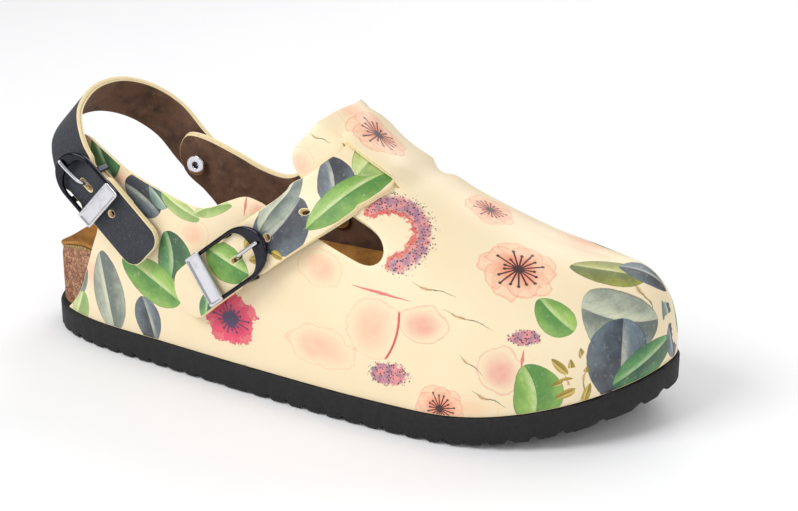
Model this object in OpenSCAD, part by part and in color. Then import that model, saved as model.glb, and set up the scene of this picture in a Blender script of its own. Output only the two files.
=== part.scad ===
// Closed-toe clog with a heel strap and an instep strap, right foot.
// Millimetres. +X points to the toe, +Y to the inner (big-toe) side, +Z up.
// The origin is on the ground, half way along the sole, on its long axis.
// Stations are counted 0 (back of the heel) to 9 (tip of the toe) along each side of the sole.

/* [Sole] */
// Length of the outsole from heel to toe
sole_l = 263; // [255:1:272]
// Thickness of the outsole at its edge
outsole_t = 10.6; // [9:0.2:13]
// Height of the toe's underside above the ground
toe_spring = 13; // [8:1:16]
// Distance from the heel at which the toe starts to rise
spring_start = 185; // [175:1:195]
// Height of the cork core at the rim of the heel cup
heel_rim_h = 33; // [28:1:36]

/* [Upper] */
// Thickness of the printed leather
leather_t = 1.6; // [1.2:0.1:1.8]
// Thickness of the suede lining
lining_t = 0.75; // [0.5:0.05:0.8]
// Lift of the leather bridge over the instep strap
bridge_lift = 5.6; // [5.6:0.1:6.2]

/* [Straps] */
// Thickness of a strap's outer leather
strap_t = 1.6; // [1.2:0.1:1.7]
// Thickness of a strap's suede backing
backing_t = 0.75; // [0.5:0.05:0.8]
// Width of the heel strap, and of the instep strap in its buckle
strap_w = 20; // [18:0.5:20.5]
// Angle of the heel strap above the horizontal
heel_strap_tilt = 43; // [38:1:48]

/* [Buckles] */
// Radius of a buckle's centre bar
bar_r = 0.9; // [0.8:0.05:1]
// Distance from the centre bar to the rivet that holds the buckle
bar_to_rivet = 12.5; // [12:0.5:14]
// Outer radius of a hollow rivet's barrel
rivet_r = 2; // [1.6:0.1:2.1]

/* [Hidden] */

STATIONS = 9;
k = sole_l / 263;                // every outline scales with the sole's length
skin_gap = 0.08;                 // gap between two layers of the upper
layer_gap = 0.15;                // gap between two layers of the footbed
welt = 1;                        // the outsole shows this much beyond the upper

// Outline of the sole: outer side, then inner side, heel to toe
OUTER_SIDE = [[0, 0], [9, -19], [32, -30], [70, -36], [115, -42],
    [165, -47], [205, -46], [236, -32], [256, -10], [263, 14]] * k;
INNER_SIDE = [[0, 0], [9, 20.5], [33, 30.5], [74, 31.5], [118, 34.5],
    [165, 42.5], [205, 45], [234, 41], [254, 30], [263, 14]] * k;
OUTLINE = concat(OUTER_SIDE, [for (i = [STATIONS - 1:-1:1]) INNER_SIDE[i]]);
// Crest of the upper: x, y and height of the arch above each station
CREST = [[6, 0, 175], [14, 0, 172], [34, 0, 165], [74, 0, 146], [118, 0, 114],
    [165, 2, 85.2], [203, 7, 67.7], [222.5, 11, 61], [232.8, 13, 58.4], [236.9, 14, 58.6]] * k;
// How square the arch is: 2 is an ellipse
FULLNESS = [[0, 2.2], [5, 2.2], [7, 2.25], [9, 2.4]];

// ---- Curves ----------------------------------------------------------------

// Catmull-Rom curve through b and c
function spline(a, b, c, d, f) =
    0.5 * (2 * b + (c - a) * f + (2 * a - 5 * b + 4 * c - d) * f * f + (3 * b - a - 3 * c + d) * f * f * f);
function along(p, u) =
    let (n = len(p), i = min(floor(u), n - 2))
    spline(i > 0 ? p[i - 1] : 2 * p[0] - p[1], p[i], p[i + 1],
        i < n - 2 ? p[i + 2] : 2 * p[n - 1] - p[n - 2], u - i);
function around(p, u) =
    let (n = len(p), i = floor(u) % n)
    spline(p[(i + n - 1) % n], p[i], p[(i + 1) % n], p[(i + 2) % n], u - floor(u));
function unit(v) = v / norm(v);
function blend(a, b, f) = a + (b - a) * f;
function ramp(a, b, x) = let (f = max(0, min(1, (x - a) / (b - a)))) f * f * (3 - 2 * f);
// Cubic from p to q that leaves along dp and arrives along dq
function bridge_curve(p, q, dp, dq, f) =
    p * (1 - 3 * f * f + 2 * f * f * f) + q * (3 * f * f - 2 * f * f * f)
    + dp * (f - 2 * f * f + f * f * f) + dq * (f * f * f - f * f);

// Point of the sole's outline at station u; side is -1 outer, +1 inner; inset moves it inwards
function edge(u, side, inset) =
    let (w = (side < 0 ? u : 2 * STATIONS - u) + 2 * STATIONS, e = 0.001,
        t = unit(around(OUTLINE, w + e) - around(OUTLINE, w - e)))
    around(OUTLINE, w) + inset * [-t[1], t[0]];
// Height of the toe's rise at x
function rise(x) =
    let (f = max(0, (x - spring_start * k) / (sole_l - spring_start * k))) toe_spring * f * f;
function sole_top(x) = outsole_t + rise(x);
// Top of the outsole at its edge at station u
function seat(u, side) = sole_top(edge(u, side, 0)[0]);

// Height added over the instep strap, between the two slits
slit_v = 0.22;                   // distance of a slit from the crest, of 1 from crest to sole
slit_from = 4.43;                // the slits' rear end
slit_to = 5.02;                  // the slits' front end
tent = 0.2;                      // the crest starts to rise this far before the slits
function lift(u, v) =
    let (ends = lookup(u, [[4.0, 1], [4.3, 2.4], [slit_from, 2.4], [slit_to, 1.6], [5.4, 0]]),
        f = min(1, v / slit_v), early = tent * (1 - f * f),
        over = ramp(slit_from - early, slit_from + 0.05, u) * ramp(slit_to + early, slit_to - 0.07, u))
    v < slit_v
    ? blend(ends, bridge_lift, over)
    : blend(ends, 0.1, over) * (1 - ramp(slit_v, 0.3, v));

// Point of the arch over the foot at station u: v = 0 at the crest to 1 at the sole, depth d inside it
flap_slant = 6;                  // the flap's rear edge runs forwards by this much towards the crest
crest_sink = 4.5;                // the instep is this much lower, from the crest to its inner side
function sink(u, v, side) =
    crest_sink * ramp(4.25, 4.8, u) * ramp(5.2, 4.98, u)
    * ramp(-0.22, 0.12, side * v) * ramp(0.62, 0.4, side * v);
function arch(u, v, side, d) =
    let (p = edge(u, side, welt + d), c = along(CREST, u), n = lookup(u, FULLNESS),
        a = 90 * (1 - v), out = pow(cos(a), 2 / n), up = pow(sin(a), 2 / n),
        z0 = seat(u, side) + layer_gap, slant = flap_slant * ramp(0.42, 0, v) * ramp(4.75, 4.2, u))
    [blend(c[0], p[0], out) + slant, blend(c[1], p[1], out), z0 + (c[2] - d - z0) * up - sink(u, v, side)];
// The same with a signed v: negative on the outer side
function arch_across(u, v, d) = arch(u, abs(v), v < 0 ? -1 : 1, d);
// Point of the upper, with its bridge over the instep strap, at depth d below the outside
function upper(u, v, side, d) = arch(u, v, side, u > 3.9 && u < 5.5 ? d - lift(u, v) : d);
// v at which the arch at station u reaches height z
function v_at(u, side, z) =
    let (z0 = seat(u, side) + layer_gap, n = lookup(u, FULLNESS))
    1 - asin(pow(max(0, z - z0) / (along(CREST, u)[2] - z0), n / 2)) / 90;

// ---- Closed solids from grids ----------------------------------------------

function flip(list) = [for (f = list) [f[0], f[2], f[1]]];
function quad(a, b, c, d) = [[a, b, c], [a, c, d]];
function other_quad(a, b, c, d) = [[a, b, d], [b, c, d]];

// A closed body made of rings: columns[i][j], where the first and last points lie on a centre line.
// Columns run round the outline; mirror columns share the centre line's points. The first `under` rows
// are split along the other diagonal, so that a layer's underside matches the top of the layer below.
module loaf(columns, under) {
    n = len(columns);
    m = len(columns[0]);
    half = n / 2;
    function at(i, j) =
        let (c = i % n, e = j == 0 || j == m - 1 ? (c > half ? n - c : c) : c) e * m + j;
    polyhedron(
        points = [for (c = columns) each c],
        faces = [for (i = [0:n - 1], j = [0:m - 2])
            each [for (f = j < under ? other_quad(at(i, j), at(i, j + 1), at(i + 1, j + 1), at(i + 1, j))
                    : quad(at(i, j), at(i, j + 1), at(i + 1, j + 1), at(i + 1, j)))
                if (f[0] != f[1] && f[1] != f[2] && f[2] != f[0]) f]],
        convexity = 6);
}

// Stations of a loaf, heel to toe
LOAF = [0, 0.35, 0.7, 1, 1.35, 1.7, 2, 2.5, 3, 3.5, 4, 4.5, 5, 5.5, 5.75, 6, 6.2, 6.4, 6.65, 6.9, 7.2, 7.6,
    8, 8.35, 8.7, 9];
// Calls profile(u, side) once for each column, round the outline
function round_the_sole(profile) =
    concat([for (u = LOAF) profile(u, -1)], [for (i = [len(LOAF) - 2:-1:1]) profile(LOAF[i], 1)]);
function centre(u) =
    let (c = [[30, 1], [34, 0], [48, 0], [78, 0], [116, -3],
        [162, -2], [198, 2], [220, 7], [231, 11], [235, 13]] * k) along(c, u);

// ---- Sole and footbed ------------------------------------------------------

jute_t = 1;
liner_t = 1.2;
// Height of the footbed's top at station u: middle and rim
function bed_middle(u) =
    lookup(u, [[0, 25], [2, 23.5], [3, 24.5], [4.2, 27], [5.2, 24.5], [6.5, 23], [9, 22]])
    + rise(centre(u)[0]);
function bed_rim(u, side) =
    lookup(u, side < 0
        ? [[0, heel_rim_h], [1, heel_rim_h + 4], [1.8, heel_rim_h + 8], [3, heel_rim_h + 3],
            [4.5, 30], [6, 27], [9, 25]]
        : [[0, heel_rim_h], [1, heel_rim_h + 5], [2, heel_rim_h + 9], [3, heel_rim_h + 7],
            [4.5, 36], [6, 28], [9, 25]])
    + rise(edge(u, side, 0)[0]);

module outsole() {
    color([0.07, 0.07, 0.08])
    loaf(round_the_sole(function (u, side)
        let (p = edge(u, side, 0), c = centre(u), q = edge(u, side, 1.6))
        [[c[0], c[1], rise(c[0])], [q[0], q[1], rise(q[0])], [p[0], p[1], rise(p[0]) + 1.6],
            [p[0], p[1], sole_top(p[0])], [c[0], c[1], sole_top(c[0])]]),
        0);
}

// From the outline to the side of the cork: less round the open heel than under the upper
function side_gap(u) = lookup(u, [[0, 2], [0.9, 2], [1.25, 4], [9, 4]]);
// Point at the side of the core, height z, under the upper's lining
function core_side(u, side, z) =
    let (v = v_at(u, side, z), p = upper(u, v, side, side_gap(u) - welt)) [p[0], p[1], z];

module lower_jute() {
    color([0.62, 0.5, 0.33])
    loaf(round_the_sole(function (u, side)
        let (c = centre(u), p = edge(u, side, side_gap(u)), z = layer_gap)
        [[c[0], c[1], sole_top(c[0]) + z], [p[0], p[1], seat(u, side) + z],
            [p[0], p[1], seat(u, side) + z + jute_t], [c[0], c[1], sole_top(c[0]) + z + jute_t]]),
        1);
}

// Profile of a footbed layer whose top is `drop` under the foot's surface
function bed_top(u, side, drop) =
    let (c = centre(u), zm = bed_middle(u) - drop, zr = bed_rim(u, side) - drop,
        p = core_side(u, side, zr),
        q = [for (f = [0.8, 0.5]) [blend(c[0], p[0], f), blend(c[1], p[1], f), blend(zm, zr, pow(f, 2.6))]])
    [p, q[0], q[1], [c[0], c[1], zm]];

module cork_core() {
    color([0.62, 0.38, 0.25])
    loaf(round_the_sole(function (u, side)
        let (c = centre(u), z = 3 * layer_gap + jute_t, p = core_side(u, side, seat(u, side) + z))
        concat([[c[0], c[1], sole_top(c[0]) + z], p],
            bed_top(u, side, liner_t + jute_t + 2 * layer_gap))),
        1);
}

module sheet_on_bed(top, bottom) {
    loaf(round_the_sole(function (u, side)
        let (low = bed_top(u, side, bottom)) concat([for (i = [3:-1:0]) low[i]], bed_top(u, side, top))),
        3);
}

module upper_jute() {
    color([0.66, 0.54, 0.37])
    sheet_on_bed(liner_t + layer_gap, liner_t + layer_gap + jute_t);
}

module footbed_liner() {
    color([0.69, 0.46, 0.2])
    sheet_on_bed(0, liner_t);
}

// ---- Upper -----------------------------------------------------------------

UPPER = concat([1.3, 1.45, 1.6, 1.72, 1.8, 1.84, 1.9, 2, 2.12, 2.22, 2.26, 2.34, 2.46, 2.6, 2.7, 2.9, 3.1,
    3.3, 3.5, 3.7, 3.85, 4, 4.1, 4.17, 4.21, 4.28, 4.35, slit_from, slit_from + 0.025, slit_from + 0.05,
    4.52, 4.6, 4.7, 4.8, 4.88, 4.95, 4.985, slit_to, 5.03, 5.15, 5.3], [for (u = [5.55:0.25:8.05]) u],
    [8.25, 8.45, 8.65, 8.82, 9]);
// Lines that the cut edges follow, as heights t = 1 - v, outer side and inner side
HEEL_EDGE = [[[1.3, 0.002], [1.73, 0.03], [1.86, 0.055], [2.08, 0.12], [2.22, 0.15], [2.6, 0.13], [9, 0.1]],
    [[1.3, 0.002], [1.73, 0.025], [2, 0.05], [2.3, 0.085], [2.7, 0.11], [9, 0.1]]];
EAR_LOW = [[[1.8, 0.24], [1.84, 0.215], [1.9, 0.2], [2, 0.19], [2.22, 0.17], [2.6, 0.15], [9, 0.15]],
    [[1.8, 0.2], [2.22, 0.205], [2.26, 0.188], [2.34, 0.176], [2.46, 0.166], [2.7, 0.14], [9, 0.15]]];
TOP_LINE = [[[1.8, 0.265], [1.84, 0.292], [1.9, 0.305], [2, 0.31], [2.29, 0.298], [2.57, 0.28], [3, 0.277],
    [3.35, 0.282], [3.52, 0.3], [3.7, 0.35], [3.86, 0.392], [4, 0.405], [4.82, 0.405],
    [4.9, 0.415], [4.98, 0.445], [5.03, 0.47], [5.4, 0.45], [9, 0.43]],
    [[1.8, 0.23], [2.22, 0.24], [2.26, 0.256], [2.34, 0.267], [2.46, 0.27], [2.86, 0.263], [3.4, 0.25],
    [3.6, 0.3], [3.75, 0.36], [3.9, 0.395], [4, 0.405], [4.82, 0.405],
    [4.9, 0.415], [4.98, 0.445], [5.03, 0.47], [5.4, 0.45], [9, 0.43]]];
FLAP_EDGE = [[4, 0.68], [4.17, 0.62], [4.21, 0.58], [4.28, 0.556], [4.82, 0.552],
    [4.9, 0.543], [4.98, 0.515], [5.03, 0.49], [5.4, 0.52], [9, 0.55]];
slit_w = 0.014;
// The rows of the grid: cells per band, from the sole up to the crest
BANDS = [2, 1, 3, 1, 3, 1, 3];
BAND_OF_ROW = [for (b = [0:len(BANDS) - 1], i = [1:BANDS[b]]) b];
ROWS = len(BAND_OF_ROW);
function lines(u, s) = [0, lookup(u, HEEL_EDGE[s]), lookup(u, EAR_LOW[s]), lookup(u, TOP_LINE[s]),
    lookup(u, FLAP_EDGE), 1 - slit_v - slit_w, 1 - slit_v, 1];
function rows(u, s) =
    let (t = lines(u, s)) concat([0], [for (b = [0:len(BANDS) - 1], i = [1:BANDS[b]])
        blend(t[b], t[b + 1], i / BANDS[b])]);
// The stations from which each band is present: outer side and inner side
NOTCH = [2.22, 2.7];
EAR_END = [1.8, 2.22];
slot_front = 5.03;
flap_back = 4.17;
flap_cut = 0.13;
function present(i, j, s) =
    i < 0 || j < 0 ? false
    : i >= len(UPPER) - 1 || j >= ROWS ? true
    : let (b = BAND_OF_ROW[j], u = (UPPER[i] + UPPER[i + 1]) / 2)
    b == 0 ? true
    : b == 1 ? u > NOTCH[s]
    : b == 2 ? u > EAR_END[s]
    : b == 3 ? u > slot_front
    : b == 5 ? u > flap_back && (u < slit_from || u > slit_to)
    : u > flap_back;

// One layer of the upper, between two depths
module skin(d_out, d_in) {
    n = len(UPPER);
    grid = n * (ROWS + 1);
    // The flap is cut further forwards towards the crest
    function cut(u, v) = u < 4 || u > slit_from ? u
        : u + flap_cut * ramp(0.42, 0, v) * ramp(slit_from, flap_back, u);
    // Number of a grid point; the two sides share the crest and the toe's tip
    function at(i, j, s, layer) = layer * 2 * grid + (s == 1 && (j == ROWS || i == n - 1) ? 0 : s * grid)
        + i * (ROWS + 1) + j;
    function side_wall(p, q, s, i, j) = quad(at(q[0], q[1], s, 0), at(p[0], p[1], s, 0),
        at(p[0], p[1], s, 1), at(q[0], q[1], s, 1));
    function cell(i, j, s) = let (a = [i, j], b = [i + 1, j], c = [i + 1, j + 1], d = [i, j + 1])
        concat(
            quad(at(i, j, s, 0), at(i, j + 1, s, 0), at(i + 1, j + 1, s, 0), at(i + 1, j, s, 0)),
            flip(quad(at(i, j, s, 1), at(i, j + 1, s, 1), at(i + 1, j + 1, s, 1), at(i + 1, j, s, 1))),
            present(i - 1, j, s) ? [] : side_wall(a, d, s),
            present(i, j + 1, s) ? [] : side_wall(d, c, s),
            present(i + 1, j, s) ? [] : side_wall(c, b, s),
            present(i, j - 1, s) ? [] : side_wall(b, a, s));
    polyhedron(
        points = [for (layer = [0, 1], s = [0, 1], u = UPPER)
            each [for (t = rows(u, s)) upper(cut(u, 1 - t), 1 - t, 2 * s - 1, layer == 0 ? d_out : d_in)]],
        faces = [for (s = [0, 1], i = [0:n - 2], j = [0:ROWS - 1]) if (present(i, j, s))
            each (s == 0 ? cell(i, j, s) : flip(cell(i, j, s)))],
        convexity = 8);
}

rivet_hole = rivet_r + 0.3;
module rivet_holes() {
    at_heel_pivot() rotate([90, 0, 0]) cylinder(r = rivet_hole, h = 100, center = true, $fn = 32);
    at_instep_buckle() translate([-bar_to_rivet, 0, 0])
        cylinder(r = rivet_hole, h = 12, center = true, $fn = 32);
    for (p = STRAP_RIVETS) at_strap_end(p) cylinder(r = rivet_hole, h = 12, center = true, $fn = 32);
}

module upper_shell() {
    color([0.95, 0.9, 0.78])
    difference() {
        skin(0, leather_t);
        rivet_holes();
    }
}

module upper_lining() {
    color([0.42, 0.31, 0.27])
    difference() {
        skin(leather_t + skin_gap, leather_t + skin_gap + lining_t);
        rivet_holes();
    }
}

// ---- Buckles ---------------------------------------------------------------
// A buckle's frame: x towards the bow, y across the strap, z outwards, on the surface it lies on.

strap_stack = strap_t + skin_gap + backing_t;
loop_t = 0.8;
bar_z = 1.95;                                     // height of the centre bar's axis
strap_z = bar_z + bar_r + 0.06 + loop_t + 0.12;   // height of the strap's underside over the bar
bow_z = strap_z + strap_stack + 0.5;              // underside of the bow, the arms and the plate's bar
bow_t = 1.9;                                      // thickness of the frame
frame_half = 8.6;                                 // half the clear width between the arms
arm_t = 1.5;
bow_x = 9.5;                                      // the bow's inner edge, in the middle
bow_from = 3;                                     // the bow's ends, on the arms
plate_l = 7;
running = 0.06;                                   // radial clearance of a turning fit
// The plate's far edge and the bow's outer edge: the instep buckle is longer than the heel's
INSTEP_SPAN = [-19, 15.8];
HEEL_SPAN = [-13, 14.5];

// A D: straight from `back` to bow_from, then half an ellipse up to its tip
function d_shape(back, tip, half) =
    concat([[back, half], [back, -half]], [for (a = [-90:5:90]) [bow_from + (tip - bow_from) * cos(a), half * sin(a)]]);

module buckle_frame(span) {
    color([0.2, 0.2, 0.22]) {
        w = frame_half + arm_t;
        back = span[0] + 2;
        translate([0, 0, bow_z]) linear_extrude(bow_t) difference() {
            polygon(d_shape(back, span[1], w));
            polygon(d_shape(back + 2.6, bow_x, frame_half));
        }
        for (s = [0, 1]) mirror([0, s, 0]) translate([-1.3, frame_half + 0.05, bar_z - 1.2])
            cube([2.6, arm_t - 0.1, bow_z + 1 - bar_z + 1.2]);
        translate([0, w - 0.2, bar_z]) rotate([90, 0, 0]) cylinder(r = bar_r, h = 2 * w - 0.4, $fn = 32);
    }
}

module buckle_plate(span) {
    w = frame_half + arm_t + 0.3;
    color([0.75, 0.75, 0.77])
    translate([span[0], -w, bow_z + bow_t + 0.03]) cube([plate_l, 2 * w, 1.1]);
}

prong_w = 1.6;
PRONG = [[0.1, 2.4], [0.3, bow_z - 1.2], [2.8, bow_z + bow_t - 0.2],
    [bow_x - 0.5, bow_z + bow_t + 0.85], [bow_x + 3.6, bow_z + bow_t + 0.85]];
module buckle_prong() {
    color([0.7, 0.7, 0.72])
    translate([0, prong_w / 2, 0]) rotate([90, 0, 0]) linear_extrude(prong_w) difference() {
        union() {
            translate([0, bar_z]) circle(r = bar_r + running + 0.75, $fn = 32);
            for (i = [0:len(PRONG) - 2]) hull() {
                translate(PRONG[i]) circle(r = 0.75, $fn = 16);
                translate(PRONG[i + 1]) circle(r = 0.75, $fn = 16);
            }
        }
        translate([0, bar_z]) circle(r = bar_r + running, $fn = 32);
    }
}

loop_w = 15;
loop_end = 5;                                     // leather beyond the rivet
module buckle_loop() {
    outer = bar_r + running + loop_t;
    color([0.16, 0.16, 0.18])
    difference() {
        translate([0, loop_w / 2, 0]) rotate([90, 0, 0]) linear_extrude(loop_w) union() {
            translate([0, bar_z]) circle(r = outer, $fn = 32);
            translate([-bar_to_rivet - loop_end, 0.15]) square([bar_to_rivet + loop_end - 0.4, 2 * loop_t]);
        }
        translate([0, loop_w, bar_z]) rotate([90, 0, 0])
            cylinder(r = bar_r + running, h = 2 * loop_w, $fn = 32);
        translate([-3, -prong_w / 2 - 0.4, 0]) cube([6, prong_w + 0.8, 8]);
        translate([-bar_to_rivet, 0, -1]) cylinder(r = rivet_r + running, h = 5, $fn = 32);
    }
}

// Slot in a strap for the prong
module prong_slot() {
    translate([-3.7, -prong_w / 2 - 0.5, strap_z - 1]) cube([6.4, prong_w + 1, strap_stack + 2]);
}
// Cuts a strap's edges back beside the centre bar, where it passes between the frame's lugs
module waist() {
    a = frame_half - 0.3;
    b = strap_w / 2 + 1;
    for (s = [0, 1]) mirror([0, s, 0]) translate([0, 0, strap_z - 1.5]) linear_extrude(strap_stack + 3)
        polygon([[-7, b], [-2.6, a], [2.6, a], [7, b]]);
}
// Spare round hole at distance x from the centre bar
hole_pitch = 16;
first_hole = 15.8;                                // the first hole beyond the bow
tail_hole = 15;                                   // the hole in the heel strap's free end
module punched_hole(x) {
    translate([x, 0, strap_z - 8]) cylinder(r = 1.4, h = strap_stack + 16, $fn = 24);
}

// Hollow rivet along z: a flange at the bottom, the barrel up to height h
flange_t = 0.7;
flange_r = 4.2;
module hollow_rivet(z0, z1) {
    color([0.78, 0.78, 0.8])
    difference() {
        union() {
            translate([0, 0, z0 - flange_t]) cylinder(r = flange_r, h = flange_t, $fn = 48);
            translate([0, 0, z0 - flange_t]) cylinder(r = rivet_r, h = z1 - z0 + flange_t, $fn = 32);
        }
        translate([0, 0, z0 - 2]) cylinder(r = rivet_r - 0.7, h = z1 - z0 + 4, $fn = 32);
    }
}
module rivet_cap(z) {
    color([0.78, 0.78, 0.8])
    translate([0, 0, z]) difference() {
        cylinder(r = flange_r, h = flange_t, $fn = 48);
        translate([0, 0, -1]) cylinder(r = rivet_r + 0.02, h = flange_t + 2, $fn = 32);
    }
}

// ---- Instep strap ----------------------------------------------------------

// Where its buckle sits on the outer quarter
BUCKLE_UT = [3.918, 0.248];
STRAP_TOP = [4.609, 0.6];                         // where the strap reaches the flap
function quarter_point(u, t) = upper(u, 1 - t, -1, 0);
buckle_at = quarter_point(BUCKLE_UT[0], BUCKLE_UT[1]);
buckle_z = let (e = 0.02, du = quarter_point(BUCKLE_UT[0] + e, BUCKLE_UT[1]) - buckle_at,
    dt = quarter_point(BUCKLE_UT[0], BUCKLE_UT[1] + e) - buckle_at) unit(cross(du, dt));
buckle_x = let (d = quarter_point(STRAP_TOP[0], STRAP_TOP[1]) - buckle_at)
    unit(d - buckle_z * (d * buckle_z));
buckle_y = cross(buckle_z, buckle_x);
module frame_at(p, x, y, z) {
    multmatrix([[x[0], y[0], z[0], p[0]], [x[1], y[1], z[1], p[1]], [x[2], y[2], z[2], p[2]], [0, 0, 0, 1]])
    children();
}
module at_instep_buckle() { frame_at(buckle_at, buckle_x, buckle_y, buckle_z) children(); }

tail_l = 37.4;                                    // from the centre bar to the strap's free end
flat_to = 17;                                     // the strap is flat up to here beyond the bar
// Strap height above the buckle's frame at distance x from the bar, and its half width
function strap_rise(x) = lookup(x,
    [[-tail_l, -1.6], [-30, 0.3], [-21, 2.5], [-9, strap_z], [4, strap_z], [flat_to, strap_z - 0.6]]);
function half_w(x) = let (b = -tail_l, r = 9)
    x < b + r ? strap_w / 2 * sqrt(max(0.04, 1 - pow((b + r - x) / r, 2))) : strap_w / 2;
function flat_part(x, w, h) =
    buckle_at + buckle_x * x + buckle_y * (w * half_w(x)) + buckle_z * (strap_rise(x) + h);
// The rest follows the upper: u, half width in u, half width in v, against signed v
OVER_U = [[-0.47, 4.498], [-0.4, 4.587], [-0.34, 4.649], [-0.24, 4.722], [0.22, 4.725], [0.4, 4.56],
    [0.6, 4.29], [0.82, 3.86]];
OVER_DU = [[-0.47, 0.262], [-0.4, 0.246], [-0.34, 0.228], [-0.24, 0.217], [0.22, 0.215], [0.6, 0.2],
    [0.82, 0.17]];
OVER_DV = [[-0.47, 0.04], [-0.4, 0.035], [-0.24, 0], [0.24, 0], [0.4, -0.035], [0.82, -0.05]];
end_v = 0.82;
function over_part(v, w, h) =
    let (e = max(0, (v - end_v + 0.05) / 0.05), s = sqrt(max(0.05, 1 - e * e * 0.9)))
    arch_across(lookup(v, OVER_U) - w * s * lookup(v, OVER_DU), v - w * s * lookup(v, OVER_DV), -0.35 - h);
over_from = -0.47;
// Stations: flat part, then the span over the slot, then the part that follows the upper
FLAT_X = [-tail_l, -36.4, -34.4, -31.4, -28.4, -21, -14, -9, -4, 4, 10, flat_to];
SPAN_F = [0.2, 0.4, 0.6, 0.8];
OVER_V = [over_from, -0.4, -0.34, -0.28, -0.22, -0.16, -0.08, 0, 0.08, 0.16, 0.22, 0.28, 0.34, 0.42,
    0.5, 0.58, 0.66, 0.74, 0.78, 0.81, end_v];
function span_part(f, w, h) =
    bridge_curve(flat_part(flat_to, w, h), over_part(over_from, w, h),
        (flat_part(flat_to, w, h) - flat_part(flat_to - 6, w, h)) * 4,
        (over_part(over_from + 0.04, w, h) - over_part(over_from, w, h)) * 5, f);
ACROSS = [-1, -0.5, 0, 0.5, 1];
function strap_section(point, h0, h1) =
    concat([for (w = ACROSS) point(w, h0)], [for (i = [len(ACROSS) - 1:-1:0]) point(ACROSS[i], h1)]);
module strap_layer(h0, h1) {
    sections = concat(
        [for (x = FLAT_X) strap_section(function (w, h) flat_part(x, w, h), h0, h1)],
        [for (f = SPAN_F) strap_section(function (w, h) span_part(f, w, h), h0, h1)],
        [for (v = OVER_V) strap_section(function (w, h) over_part(v, w, h), h0, h1)]);
    swept(sections);
}
// A closed tube through sections of equal length, with fan-free flat ends
module swept(sections) {
    n = len(sections);
    m = len(sections[0]);
    half = m / 2;
    polyhedron(
        points = [for (s = sections) each s],
        faces = concat(
            [for (i = [0:n - 2], j = [0:m - 1]) each flip(j < half ? quad(i * m + j, i * m + (j + 1) % m,
                (i + 1) * m + (j + 1) % m, (i + 1) * m + j)
                : other_quad(i * m + j, i * m + (j + 1) % m, (i + 1) * m + (j + 1) % m, (i + 1) * m + j))],
            [for (j = [0:half - 2]) each flip(quad(j + 1, j, m - 1 - j, m - 2 - j))],
            [for (j = [0:half - 2]) each quad((n - 1) * m + j + 1, (n - 1) * m + j,
                (n - 1) * m + m - 1 - j, (n - 1) * m + m - 2 - j)]),
        convexity = 8);
}

// Two rivets fix the strap's inner end to the inner quarter
STRAP_RIVETS = [0.71, 0.785];
module at_strap_end(v) {
    u = lookup(v, OVER_U);
    p = arch_across(u, v, 0);
    du = unit(arch_across(u + 0.05, v, 0) - arch_across(u - 0.05, v, 0));
    dv = unit(arch_across(u, v + 0.02, 0) - arch_across(u, v - 0.02, 0));
    z = unit(cross(dv, du));
    frame_at(p, du, cross(z, du), z) children();
}

module strap_holes() {
    at_instep_buckle() {
        prong_slot();
        waist();
        for (i = [0, 1]) punched_hole(first_hole + i * hole_pitch);
    }
    for (v = STRAP_RIVETS) at_strap_end(v) cylinder(r = rivet_r + 0.1, h = 16, center = true, $fn = 32);
}

module instep_strap() {
    color([0.55, 0.7, 0.5])
    difference() {
        strap_layer(backing_t + skin_gap, strap_stack);
        strap_holes();
    }
}

module instep_strap_backing() {
    color([0.42, 0.31, 0.27])
    difference() {
        strap_layer(0, backing_t);
        strap_holes();
    }
}

module instep_strap_rivets() { for (v = STRAP_RIVETS) at_strap_end(v) hollow_rivet(-3.1, 3.4); }
module instep_strap_rivet_caps() { for (v = STRAP_RIVETS) at_strap_end(v) rivet_cap(2.95); }
module instep_buckle_frame() { at_instep_buckle() buckle_frame(INSTEP_SPAN); }
module instep_buckle_plate() { at_instep_buckle() buckle_plate(INSTEP_SPAN); }
module instep_buckle_prong() { at_instep_buckle() buckle_prong(); }
module instep_buckle_loop() { at_instep_buckle() buckle_loop(); }
module instep_buckle_rivet() {
    at_instep_buckle() translate([-bar_to_rivet, 0, 0]) hollow_rivet(-3.6, 2 * loop_t + 0.6);
}
module instep_buckle_rivet_cap() {
    at_instep_buckle() translate([-bar_to_rivet, 0, 0]) rivet_cap(2 * loop_t + 0.2);
}

// ---- Heel strap ------------------------------------------------------------
// It lies in a tilted plane and turns about a line across the heel, through the rivet on each ear.

pivot_x = 49.5 * k;
pivot_z = 63.5 * k;
// The frame of the strap: x up and back along it, y across the shoe, z across the strap's width
module at_heel_pivot() {
    translate([pivot_x, 0, pivot_z]) rotate([0, 180 + heel_strap_tilt, 0]) children();
}
outer_plane = -31.9 * k;                          // the plane that the outer ear's buckle lies on
inner_plane = 30.4 * k;                           // the same for the strap's end on the inner ear
module at_heel_buckle() {
    at_heel_pivot() translate([bar_to_rivet, outer_plane, 0]) rotate([90, 0, 0]) children();
}
// Inner face of the strap, from the free end round the heel to the end on the inner ear
y_tail = outer_plane - strap_z;
HEEL_PATH = [[-24, y_tail - 0.3], [-12, y_tail - 0.1], [-4, y_tail], [6, y_tail], [17, y_tail],
    [26, y_tail + 3.4], [36, -24], [42, -12], [44, 0], [42, 13], [34.5, 24.5], [23, inner_plane + 0.4],
    [10, inner_plane], [0, inner_plane], [-8, inner_plane], [-13, inner_plane]];
function heel_line(d) =
    let (n = len(HEEL_PATH) - 1, step = 0.25)
    [for (u = [0:step:n]) let (p = along(HEEL_PATH, u), e = 0.01,
        t = unit(along(HEEL_PATH, min(n, u + e)) - along(HEEL_PATH, max(0, u - e)))) p + d * [t[1], -t[0]]];
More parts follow.
